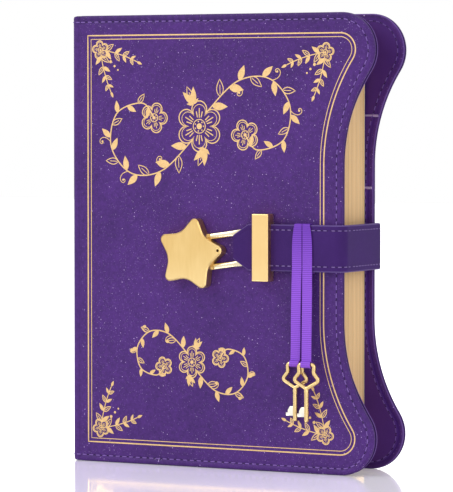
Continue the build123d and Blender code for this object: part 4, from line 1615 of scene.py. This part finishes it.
@dataclass
class Keys:
    """Two bent-wire keys and the ribbons that they hang on.

    Columns hold a ribbon's distances from its middle and its thickness there as a share. Hang holds a tail's
    heights and the share of the way to its key's standoff. Neck and toe hold heights from the bow's joint and
    the stem's foot, with radii. Bit holds places from the stem's axis and its foot, and bit_rims its size as
    a share and the depth where it has that size.
    """

    centres: Flat = (123.9, 129.3)
    key_centres: Flat = (121.9, 129.3)
    tail_top: float = 93.55
    standoffs: Flat = (1.95, 5.0)
    width: float = 5.0
    columns: tuple[Flat, ...] = ((1.8, 1.0), (2.0, 1.0), (2.25, 1.0), (2.42, 0.85), (2.5, 0.55))
    rib: float = 0.9
    rib_rise: float = 0.16
    gather: float = 0.24
    gather_from: float = 105.0
    loop_depths: Flat = (1.225, 4.275)
    loop_heights: Flat = (94.075, 116.725)
    loop_corner: float = 0.55
    loop_half: float = 0.22
    tail_half: float = 0.34
    tail_height: float = 4.275
    tail_bend: Flat = (94.8, 91.0)
    hang: tuple[Flat, ...] = ((95.6, 0.0), (89.0, 0.02), (76.0, 0.3), (62.0, 0.82), (55.0, 0.99), (51.6, 1.0))
    eye_radius: float = 1.47
    eye_gap: float = 1.2
    crossbar: float = 51.5
    wire: float = 0.95
    stem_length: float = 15.7
    bow_height: float = 11.3
    bow_half: float = 6.65
    bow_top: float = 4.0
    bow_neck: float = 3.75
    arm: float = 3.9
    shoulder: float = 3.8
    bend: float = 1.25
    neck: tuple[Flat, ...] = ((0.3, 0.8), (-0.2, 1.0), (-0.9, 1.1), (-1.2, 1.16), (-1.7, 1.18), (-2.0, 1.16),
                              (-2.3, 1.08))
    toe: tuple[Flat, ...] = ((1.0, 1.1), (0.5, 1.02), (0.18, 0.8), (0.0, 0.4))
    bit: tuple[Flat, ...] = ((0.0, 2.5), (-4.35, 2.5), (-4.6, 2.75), (-4.6, 4.0), (-3.6, 4.0), (-3.6, 5.0),
                             (-3.5, 5.4), (-2.6, 6.9), (-2.3, 7.0), (0.0, 7.0))
    bit_rims: tuple[Flat, ...] = ((0.93, -0.65), (1.0, -0.52), (1.0, 0.52), (0.93, 0.65))

    def ribbon_row(self, x: float, middle: Flat, out: Flat, half: float) -> list[Point]:
        """One closed cross-section of ribbon.

        Args:
            x: the ribbon's middle in x.
            middle: height above the cover and height from the floor.
            out: the unit normal in the same two directions.
            half: half the thickness here.

        Returns:
            Points round the section.
        """
        right = [(c, half * share) for c, share in self.columns]
        top = [(-c, t) for c, t in reversed(right)] + right
        loop = top + [(c, -t) for c, t in reversed(top)]
        return [(x + c, -(middle[0] + out[0] * t), middle[1] + out[1] * t) for c, t in loop]

    def ribbed(self, line: Sequence[Point], half: float, closed: bool) -> list[list[Point]]:
        """Cross-sections of ribbed ribbon along a line.

        Args:
            line: its middle in x, and its heights above the cover and from the floor.
            half: half the thickness.
            closed: whether the line is a loop.

        Returns:
            Rows for a skin.
        """
        track = Track(list(line), [(1.0, 0.0, 0.0)] * len(line))
        count = max(int(track.length / (self.rib / 4)), 8)
        rows = []
        for n in range(count if closed else count + 1):
            along = track.length * n / count
            point, ahead, _ = track.at(along)
            swell = half * (1 - self.rib_rise + self.rib_rise * math.sin(2 * math.pi * along / self.rib))
            out = Vector((-ahead.z, ahead.y)).normalized()
            rows.append(self.ribbon_row(point.x, (point.y, point.z), (out.x, out.y), swell))
        return rows

    def loops(self) -> bpy.types.Object:
        """The two loops round the strap.

        Returns:
            The piece.
        """
        (near, far), (low, high) = self.loop_depths, self.loop_heights
        r = self.loop_corner
        line = chain(
            straight((near, low + r), (near, high - r), 30), arc((near + r, high - r), r, 180, 90, 6),
            arc((far - r, high - r), r, 90, 0, 6), straight((far, high - r), (far, low + r), 30),
            arc((far - r, low + r), r, 0, -90, 6), arc((near + r, low + r), r, 270, 180, 6))
        shape = Shape()
        for x in self.centres:
            rows = self.ribbed([(x, *p) for p in line], self.loop_half, closed=True)
            shape.skin([[self.gathered(p) for p in row] for row in rows], closed=True, ring=True)
        return shape.piece("ribbon_bands", [Finish.RIBBON.material()])

    def gathered(self, point: Point) -> Point:
        """A point of the loops, drawn in to their shared middle towards the strap's upper edge.

        Args:
            point: the point on a straight loop.

        Returns:
            The point drawn in.
        """
        middle = sum(self.centres) / 2
        share = max(point[2] - self.gather_from, 0.0) / (self.loop_heights[1] - self.gather_from)
        return (middle + (point[0] - middle) * (1 - self.gather * share * share), point[1], point[2])

    def route(self, name: str, points: Sequence[Point]) -> list[Point]:
        """A smooth line through the hang of a ribbon.

        Args:
            name: the ribbon's name.
            points: the spline's control points.

        Returns:
            Points read from the spline.
        """
        curve = bpy.data.curves.new(f"{name}_route", "CURVE")
        curve.dimensions = "3D"
        spline = curve.splines.new("NURBS")
        spline.points.add(len(points) - 1)
        for target, point in zip(spline.points, points):
            target.co = (*point, 1.0)
        spline.order_u = 3
        spline.use_endpoint_u = True
        spline.resolution_u = 30
        carrier = bpy.data.objects.new(f"{name}_route", curve)
        bpy.context.scene.collection.objects.link(carrier)
        mesh = bpy.data.meshes.new_from_object(carrier)
        read = [tuple(v.co) for v in mesh.vertices]
        bpy.data.objects.remove(carrier)
        bpy.data.curves.remove(curve)
        bpy.data.meshes.remove(mesh)
        return read

    def tail(self, name: str, x: float, key_x: float,
             standoff: float) -> tuple[bpy.types.Object, list[Point]]:
        """A ribbon's hanging tail and the eye round its key's crossbar.

        Args:
            name: the piece's name.
            x: its middle in x at the strap.
            key_x: its middle in x at the key.
            standoff: the crossbar's height above the cover.

        Returns:
            The piece, and the line that it follows in the shared frame.
        """
        gone = self.tail_height - standoff
        fall = self.tail_top - self.crossbar
        points = []
        for z, share in self.hang:
            drift = (key_x - x) * max(self.tail_top - z, 0.0) / fall
            points.append((x + drift, -(self.tail_height - gone * share), z))
        line = self.route(name, points)
        shape = Shape()
        shown = [(p[0], -p[1], p[2]) for p in line if p[2] > self.crossbar + self.eye_gap]
        shape.tube(self.ribbed(shown, self.tail_half, closed=False))
        eye = [(key_x, *p) for p in arc((standoff, self.crossbar), self.eye_radius, 90, 450, 40)[:-1]]
        shape.skin(self.ribbed(eye, self.loop_half, closed=True), closed=True, ring=True)
        return shape.piece(name, [Finish.RIBBON.material()]), [place(p) for p in line]

    def rod(self, shape: Shape, line: Sequence[Flat], depth: float, radii: Sequence[float],
            closed: bool) -> None:
        """Round wire along a flat line at one depth.

        Args:
            shape: the mesh that takes it.
            line: x and z along the wire.
            depth: its y.
            radii: the radius at each point.
            closed: whether the line is a loop.
        """
        ring = [(math.cos(a), math.sin(a)) for a in circle(16)]
        rows = []
        for (x, z), ahead, r in zip(line, headings(line, closed), radii):
            rows.append([(x - ahead.y * r * u, depth + r * v, z + ahead.x * r * u) for u, v in ring])
        if closed:
            shape.skin(rows, closed=True, ring=True)
        else:
            shape.tube(rows)

    def rounded(self, corners: Sequence[Flat], radius: float) -> list[Flat]:
        """A loop of bent wire: straight runs joined by bends of one radius.

        Args:
            corners: where the runs would meet.
            radius: the bends' radius.

        Returns:
            Points along the loop.
        """
        line: list[Flat] = []
        for n, corner in enumerate(corners):
            here = Vector(corner)
            back = (Vector(corners[n - 1]) - here).normalized()
            on = (Vector(corners[(n + 1) % len(corners)]) - here).normalized()
            half = math.acos(max(-1.0, min(1.0, back.dot(on)))) / 2
            reach = radius / math.tan(half)
            centre = here + (back + on).normalized() * radius / math.sin(half)
            first, last = here + back * reach, here + on * reach
            for k in range(9):
                share = first.lerp(last, k / 8) - centre
                line.append(tuple(centre + share.normalized() * radius))
        return line

    def key(self, name: str, x: float, standoff: float) -> bpy.types.Object:
        """A key: a forked bow, a round stem with a collar, and a notched bit.

        Args:
            name: the piece's name.
            x: its middle in x.
            standoff: its height above the cover.

        Returns:
            The piece.
        """
        shape = Shape()
        joint = self.crossbar - self.bow_height
        arm = [(self.bow_top, self.crossbar), (self.bow_neck, self.crossbar - self.arm),
               (self.bow_half, joint + self.shoulder)]
        corners = [*[(x + px, pz) for px, pz in arm], (x, joint), *[(x - px, pz) for px, pz in reversed(arm)]]
        bow = self.rounded(corners, self.bend)
        self.rod(shape, bow, -standoff, [self.wire] * len(bow), closed=True)
        foot = joint - self.stem_length
        shaft = [(joint + rise, r) for rise, r in self.neck] + [(foot + rise, r) for rise, r in self.toe]
        self.rod(shape, [(x, z) for z, _ in shaft], -standoff, [r for _, r in shaft], closed=False)
        flag = [(x + across, foot + up) for across, up in self.bit]
        mid_x, mid_z = (sum(values) / len(flag) for values in zip(*flag))
        rows = []
        for share, depth in self.bit_rims:
            rim = [(mid_x + (px - mid_x) * share, mid_z + (pz - mid_z) * share) for px, pz in flag]
            rows.append([(px, depth - standoff, pz) for px, pz in rim])
        # The bit takes the near-white finish, a painted highlight.
        shape.tube(rows, 1)
        return shape.piece(name, [Finish.KEY.material(), Finish.BIT_GLINT.material()], crease=40)

    def dress(self) -> None:
        """Build the ribbons and keys and put them on their bodies."""
        loops = self.loops()
        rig.replaces(loops, "ribbon_loops")
        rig.slot(loops, "ribbon")
        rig.ride(loops, "strap")
        places = zip(("left", "right"), self.centres, self.key_centres, self.standoffs)
        for side, x, key_x, standoff in places:
            key = self.key(f"{side}_wire_key", key_x, standoff)
            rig.replaces(key, f"key_{side}")
            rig.slot(key, "key_metal")
            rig.ride(key, f"key_{side}")
            tail, line = self.tail(f"{side}_ribbon_tail", x, key_x, standoff)
            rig.replaces(tail, f"ribbon_{side}")
            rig.slot(tail, "ribbon")
            start, end = (place((x, -self.tail_height, z)) for z in self.tail_bend)
            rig.blend(tail, "strap", f"ribbon_{side}", start=start, end=end)
            length = sum(math.dist(a, b) for a, b in zip(line, line[1:]))
            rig.cord(tail, exit=line[0], length=round(length, 4), diameter=self.width * MM, far_end="fitting",
                    stiffness="limp", lay="hanging", path=line, with_pieces=[key])


@dataclass
class FoilDesign:
    """A stamped design of leaves and flowers inside a ruled frame.

    Petals hold each outline's reach, the depth of its clefts and its width. Veins hold the lean, start and
    end of each. A ruled line of the frame has its inset, its left end and its width. A corner has its
    flower's place and the way it faces. Winding holds a vine's way from its flower, and shoots where each
    tendril springs, its size and how far it winds.
    """

    outline: Outline = field(default_factory=Outline)
    lowest: float = 0.05
    step: float = 0.0004
    steps: int = 170
    sunk: float = 0.02
    leaf_line: float = 0.42
    vein_line: float = 0.34
    branch_line: float = 0.46
    tendril_line: float = 0.36
    vine_line: float = 0.6
    seed: float = 0.55
    petals: Profile = ((1.0, 0.42, 0.55), (0.86, 0.46, 0.3))
    veins: Profile = ((-13, 0.36, 0.6), (0, 0.34, 0.72), (13, 0.36, 0.6))
    ruled: Profile = ((9.6, 9.0, 0.62), (11.4, 10.8, 0.34))
    corner_flowers: Profile = ((16.0, 198.5, -45), (16.0, 16.5, 45), (136.5, 196.5, -135), (136.5, 18.5, 135))
    winding: tuple[Flat, ...] = ((3.7, 6.4), (20.0, 21.0), (37.0, 22.5), (48.0, 10.0), (45.0, -6.0),
                                 (31.0, -11.0), (24.5, -4.0))
    shoots: Profile = ((0.2, 13.0, -430.0), (0.42, 12.0, 430.0), (0.6, 11.0, 400.0))
    marks: int = 0
    shape: Shape = field(default_factory=Shape)

    def rise(self) -> float:
        """The next mark's height over the leather, never the same as its neighbours'."""
        self.marks += 1
        return self.lowest + self.step * (self.marks % self.steps)

    def stroke(self, line: Sequence[Flat], width: float, closed: bool = False) -> None:
        """A stamped line.

        Args:
            line: x and z along it.
            width: its width.
            closed: whether it is a loop.
        """
        rise = self.rise()
        rows = []
        for (x, z), ahead in zip(line, headings(line, closed)):
            u, v = -ahead.y * width / 2, ahead.x * width / 2
            rows.append([(x - u, self.sunk, z - v), (x - u, -rise, z - v), (x + u, -rise, z + v),
                         (x + u, self.sunk, z + v)])
        if closed:
            self.shape.skin(rows, closed=True, ring=True)
        else:
            self.shape.tube(rows)

    def patch(self, loop: Sequence[Flat]) -> None:
        """A stamped patch."""
        self.shape.tube([[(x, y, z) for x, z in loop] for y in (self.sunk, -self.rise())])

    def dot(self, at: Flat, radius: float) -> None:
        """A stamped dot."""
        self.patch(arc(at, radius, 0, 360, 12)[:-1])

    def almond(self, at: Flat, angle: float, length: float, width: float) -> list[Flat]:
        """A leaf's outline.

        Args:
            at: its foot.
            angle: its direction in degrees.
            length, width: its size.

        Returns:
            Points round it.
        """
        ahead = (math.cos(math.radians(angle)), math.sin(math.radians(angle)))
        steps = 8
        sides: list[list[Flat]] = [[], []]
        for n in range(steps + 1):
            share = n / steps
            bulge = width / 2 * math.sin(math.pi * share ** 0.8)
            x, z = at[0] + ahead[0] * length * share, at[1] + ahead[1] * length * share
            sides[0].append((x - ahead[1] * bulge, z + ahead[0] * bulge))
            sides[1].append((x + ahead[1] * bulge, z - ahead[0] * bulge))
        return sides[0] + sides[1][-2:0:-1]

    def leaf(self, at: Flat, angle: float, length: float, width: float, solid: bool = True) -> None:
        """A leaf, solid or drawn as an outline with a vein.

        Args:
            at: its foot.
            angle: its direction in degrees.
            length, width: its size.
            solid: whether it is filled.
        """
        loop = self.almond(at, angle, length, width)
        if solid:
            self.patch(loop)
            return
        self.stroke(loop, self.leaf_line, closed=True)
        self.stroke([stepped(at, angle, length * share) for share in (0.12, 0.4, 0.68)], self.vein_line)

    def branch(self, at: Flat, angle: float, length: float, curl: float, leaves: int, size: float) -> None:
        """A curved stem with leaves on both sides and a bud at its end.

        Args:
            at: its foot.
            angle: its first direction in degrees.
            length: its length.
            curl: how far it turns over its length, in degrees.
            leaves: how many pairs of leaves it has.
            size: the largest leaf's length.
        """
        steps = 28
        line, turns = [at], [angle]
        for n in range(steps):
            turns.append(angle + curl * (n + 0.5) / steps)
            line.append(stepped(line[-1], turns[-1], length / steps))
        self.stroke(line, self.branch_line)
        for pair in range(leaves):
            n = int((pair + 0.8) / (leaves + 0.5) * steps)
            grown = size * (1 - 0.5 * pair / leaves)
            for side in (-1, 1):
                solid = (pair + (side > 0)) % 2 == 0
                self.leaf(line[n], turns[n] + side * 46, grown, grown * 0.4, solid)
        self.leaf(line[-1], turns[-1], size * 0.6, size * 0.26)

    def blossom(self, at: Flat, radius: float, petals: int = 5, turn: float = 90.0) -> None:
        """An open flower: rounded petals with veins, and a ringed heart with seeds.

        Args:
            at: its middle.
            radius: its outer radius.
            petals: how many petals it has.
            turn: the direction of its first petal in degrees.
        """
        count = 24 * petals
        for reach, cleft, width in self.petals:
            loop = []
            for n in range(count):
                swell = abs(math.cos(math.pi * petals * n / count)) ** 0.55
                out = radius * reach * (1 - cleft + cleft * swell)
                loop.append(stepped(at, turn + 360 * n / count, out))
            self.stroke(loop, width, closed=True)
        for n in range(petals):
            for spread, low, high in self.veins:
                lean = turn + 360 * n / petals + spread
                self.stroke([stepped(at, lean, radius * r) for r in (low, high)], 0.032 * radius + 0.12)
        self.stroke(arc(at, radius * 0.27, 0, 360, 32)[:-1], self.leaf_line, closed=True)
        self.dot(at, radius * 0.12)
        for x, z in arc(at, radius * 0.19, 0, 360, 7)[:-1]:
            self.dot((x, z), radius * 0.03)

    def bud(self, at: Flat, angle: float, size: float) -> None:
        """A closed flower from the side, with two sepals.

        Args:
            at: its foot.
            angle: its direction in degrees.
            size: its length.
        """
        for lean in (-22, 22):
            self.leaf(at, angle + lean, size * 0.92, size * 0.34)
            self.leaf(at, angle + 3 * lean, size * 0.42, size * 0.16)
        self.leaf(at, angle, size, size * 0.36, solid=False)

    def tendril(self, at: Flat, angle: float, size: float, curl: float) -> None:
        """A thin shoot that winds up to a dot.

        Args:
            at: its foot.
            angle: its first direction in degrees.
            size: about its length.
            curl: how far it winds in all, in degrees.
        """
        steps = 36
        line, heading = [at], angle
        for n in range(steps):
            share = n / steps
            heading += curl * (0.25 + 1.5 * share) / steps
            line.append(stepped(line[-1], heading, size * (1.6 - 1.25 * share) / steps))
        self.stroke(line, self.tendril_line)
        self.dot(line[-1], self.seed)

    def wander(self, knots: Sequence[Flat]) -> Track:
        """A smooth line through knots.

        Args:
            knots: x and z of the points that it passes.

        Returns:
            The line.
        """
        ends = [knots[0], *knots, knots[-1]]
        line: list[Flat] = []
        for a, b, c, d in zip(ends, ends[1:], ends[2:], ends[3:]):
            for n in range(14):
                t = n / 14
                point = [2 * q + (r - p) * t + (2 * p - 5 * q + 4 * r - s) * t ** 2
                         + (3 * q - p - 3 * r + s) * t ** 3 for p, q, r, s in zip(a, b, c, d)]
                line.append(tuple(0.5 * value for value in point))
        line.append(tuple(knots[-1]))
        return Track([(x, 0.0, z) for x, z in line], [(0.0, -1.0, 0.0)] * len(line))

    def along(self, track: Track, share: float) -> tuple[Flat, float]:
        """A place on a line at a share of its length, and the line's direction there in degrees."""
        point, ahead, _ = track.at(track.length * share)
        return (point.x, point.z), math.degrees(math.atan2(ahead.z, ahead.x))

    def vine(self, knots: Sequence[Flat], leaves: int, size: float, shoots: Sequence[Triple]) -> Flat:
        """A winding stem with leaves on alternate sides and tendrils.

        Args:
            knots: the points that it winds through.
            leaves: how many leaves it has.
            size: the largest leaf's length.
            shoots: where each tendril springs as a share of the length, its size, and how far it winds.

        Returns:
            The stem's end.
        """
        track = self.wander(knots)
        self.stroke([(p[0], p[2]) for p in track.points], self.vine_line)
        for n in range(leaves):
            share = (n + 0.7) / (leaves + 0.6)
            at, heading = self.along(track, share)
            grown = size * (1 - 0.42 * share)
            side = 1 if n % 2 else -1
            self.leaf(at, heading + side * 48, grown, grown * 0.44, solid=n % 3 != 1)
        for share, length, curl in shoots:
            at, heading = self.along(track, share)
            self.tendril(at, heading + math.copysign(35, curl), length, curl)
        return knots[-1]

    def frame(self) -> None:
        """The ruled frame that follows the cover's outline."""
        for inset, left, width in self.ruled:
            line = self.outline.edge(inset, joint=left)
            self.stroke(line + straight(line[-1], line[0], 40)[1:-1], width, closed=True)

    def corners(self) -> None:
        """Two small branches in each corner, springing from a flower."""
        for x, z, turn in self.corner_flowers:
            for side in (1, -1):
                self.branch((x, z), turn + 38 * side, length=21, curl=-18 * side, leaves=4, size=5.2)
            self.blossom((x, z), radius=4.4, turn=turn)
            for n, reach in enumerate((8.0, 11.0, 13.6)):
                self.dot(stepped((x, z), turn, reach), 0.75 - 0.15 * n)

    def scroll(self, at: Flat, scale: float, flip: int, leaves: int, size: float) -> None:
        """A flower from which two vines wind out and in again, one each way, to smaller flowers.

        Args:
            at: the middle flower's centre.
            scale: its size against the one above the lock.
            flip: 1, or -1 for the other hand.
            leaves: how many leaves each vine has.
            size: the largest leaf's length.
        """
        shoots = [(share, length * scale, curl * flip) for share, length, curl in self.shoots]
        for way in (1, -1):
            knots = [(at[0] + way * flip * x * scale, at[1] + way * z * scale) for x, z in self.winding]
            tip = self.vine(knots, leaves, size, shoots)
            self.blossom(tip, radius=7.2 * scale, turn=90.0 + 20.0 * way)
            foot = (at[0] - way * flip * 3.0 * scale, at[1] + way * 10.5 * scale)
            self.bud(foot, 90.0 * way + flip * way * 24.0, 9.0 * scale)
        self.blossom(at, radius=12.0 * scale, petals=6)

    def dress(self) -> None:
        """Stamp the whole design on the front cover."""
        self.frame()
        self.corners()
        self.scroll((70.0, 162.0), scale=1.0, flip=1, leaves=15, size=8.6)
        self.scroll((66.0, 50.0), scale=0.62, flip=-1, leaves=11, size=6.0)
        piece = self.shape.piece("cover_foil", [Finish.FOIL.material()], crease=30)
        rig.slot(piece, "gold_metal")
        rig.ride(piece, "front_cover")


@dataclass
class Solids:
    """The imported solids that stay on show, and the finish of each."""

    finishes: dict[Finish, tuple[str, ...]] = field(default_factory=lambda: {
        Finish.LINING: ("front_cover_lining", "back_cover_lining"),
        Finish.POCKET: ("card_pocket_tall", "card_pocket_short"),
        Finish.BOARD: ("front_cover_board", "back_cover_board", "spine_board"),
        Finish.CLOTH: ("spine_lining",),
        Finish.LEAF: ("flyleaf", "back_endpaper"),
        Finish.STAR: ("star_shell",),
        Finish.GOLD: ("star_back_plate", "key_guide", "keeper_stud", "bar_rivets"),
        Finish.BAR: ("clasp_bar",),
        Finish.PRONG: ("tongue_plate",),
        Finish.STEEL: ("stud_washer", "star_pins", "latch_plate", "latch_spring"),
    })

    def dress(self) -> None:
        """Give each solid its finish."""
        for finish, nodes in self.finishes.items():
            for node in nodes:
                for material_slot in frame["nodes"][node].material_slots:
                    material_slot.material = finish.material()
                LOG.info("%s: %s", node, finish.value.name)


@dataclass
class Studio:
    """Pale floor, soft lamps, white surroundings and the camera."""

    target: Point = (2.75, -13.6, 105.5)
    distance: float = 1549.0
    yaw: float = 28.03
    pitch: float = 2.38
    lens: float = 239.9
    sensor: float = 36.0
    lamp_aim: Point = (0.0, 0.0, 0.1)
    surround: float = 0.62
    floor_corners: tuple[Flat, ...] = ((-4000, -4000), (4200, -4000), (4200, 4000), (-4000, 4000))
    floor_drop: float = 0.05
    floor_tints: tuple[Colour, Colour] = (tint(246, 246, 248), tint(250, 250, 250))
    floor_glow: float = 0.3
    floor_mirror: float = 2.4
    floor_rough: float = 0.08
    lamps: tuple[tuple[str, Point, float, float], ...] = (
        ("key_lamp", (-1.1, -1.2, 1.3), 13.0, 1.0),
        ("fill_lamp", (1.5, -1.1, 0.7), 5.0, 1.2),
        ("top_lamp", (0.1, 0.3, 1.6), 5.0, 1.0))

    def camera(self) -> None:
        """Set the camera at the picture's viewing angle."""
        yaw, pitch = math.radians(self.yaw), math.radians(self.pitch)
        away = Vector((math.sin(yaw) * math.cos(pitch), -math.cos(yaw) * math.cos(pitch), math.sin(pitch)))
        data = bpy.data.cameras.new("camera")
        data.lens = self.lens
        data.sensor_width = self.sensor
        made = bpy.data.objects.new("camera", data)
        made.location = (Vector(self.target) + away * self.distance) * MM
        made.rotation_euler = (-away).to_track_quat("-Z", "Y").to_euler()
        bpy.context.scene.collection.objects.link(made)
        bpy.context.scene.camera = made

    def world(self) -> None:
        """White for the camera and for reflections, a softer level for light."""
        world = bpy.data.worlds.new("studio")
        bpy.context.scene.world = world
        bench = Bench("studio", world)
        rays = {ray.socket.name: ray for ray in bench.node("ShaderNodeLightPath")}
        shown = rays["Is Camera Ray"].most(rays["Is Transmission Ray"]).most(rays["Is Glossy Ray"])
        background = bench.tree.nodes["Background"]
        bench.feed(background.inputs["Color"], (1.0, 1.0, 1.0, 1.0))
        bench.feed(background.inputs["Strength"], self.surround + (1 - self.surround) * shown)

    def floor(self) -> None:
        """A wide white floor that keeps the shadow and a faint reflection."""
        bench = Bench("floor_white")
        patch = bench.noise(9.0, 3.0)
        bench.surface(Base_Color=bench.mix(patch, *self.floor_tints), Roughness=0.9, Specular_IOR_Level=0.0)
        matt = Signal(bench, bench.shader.outputs[0])
        seen = bench.node("ShaderNodeLightPath")[0]
        white = (1.0, 1.0, 1.0, 1.0)
        bright = (self.floor_mirror, self.floor_mirror, self.floor_mirror, 1.0)
        glow = bench.node("ShaderNodeEmission", {}, {"Color": white, "Strength": self.floor_glow})[0]
        lit = bench.node("ShaderNodeAddShader", {}, {0: matt, 1: glow})[0]
        sides = []
        for base, colour in ((matt, white), (lit, bright)):
            sheen = {"Color": colour, "Roughness": self.floor_rough}
            gloss = bench.node("ShaderNodeBsdfGlossy", {}, sheen)[0]
            sides.append(bench.node("ShaderNodeMixShader", {}, {0: 0.5, 1: base, 2: gloss})[0])
        both = bench.node("ShaderNodeMixShader", {}, {0: seen, 1: sides[0], 2: sides[1]})[0]
        bench.feed(bench.tree.nodes["Material Output"].inputs["Surface"], both)
        shape = Shape()
        shape.add([(x, y, -self.floor_drop) for x, y in self.floor_corners], [(0, 1, 2, 3)])
        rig.stage(shape.piece("studio_floor", [bench.owner]))

    def lamp(self, name: str, at: Point, watts: float, size: float) -> None:
        """A square soft lamp aimed at the diary.

        Args:
            name: the lamp's name.
            at: its place in the shared frame, in metres.
            watts: its power.
            size: its side in metres.
        """
        data = bpy.data.lights.new(name, "AREA")
        data.energy = watts
        data.size = size
        made = bpy.data.objects.new(name, data)
        made.location = at
        aim = Vector(self.lamp_aim) - Vector(at)
        made.rotation_euler = aim.to_track_quat("-Z", "Y").to_euler()
        bpy.context.scene.collection.objects.link(made)

    def dress(self) -> None:
        """Build the studio."""
        bpy.context.scene.view_settings.view_transform = "Standard"
        self.camera()
        self.world()
        self.floor()
        for lamp in self.lamps:
            self.lamp(*lamp)


def main() -> None:
    """Build the diary's pieces in order and write both boxes."""
    logging.basicConfig(level=logging.INFO, format="%(name)s: %(message)s")
    for part in (Studio(), Keys(), Solids(), Covers(), TextBlock(), Strap(), LockTrim(), FoilDesign()):
        LOG.info("building %s", type(part).__name__)
        part.dress()
    boxes = {"cad": CAD_BOX, "visual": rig.bounds()}
    with open("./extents.json", "w") as out:
        json.dump({name: [[float(v) for v in corner] for corner in box] for name, box in boxes.items()}, out)


if __name__ == "__main__":
    main()
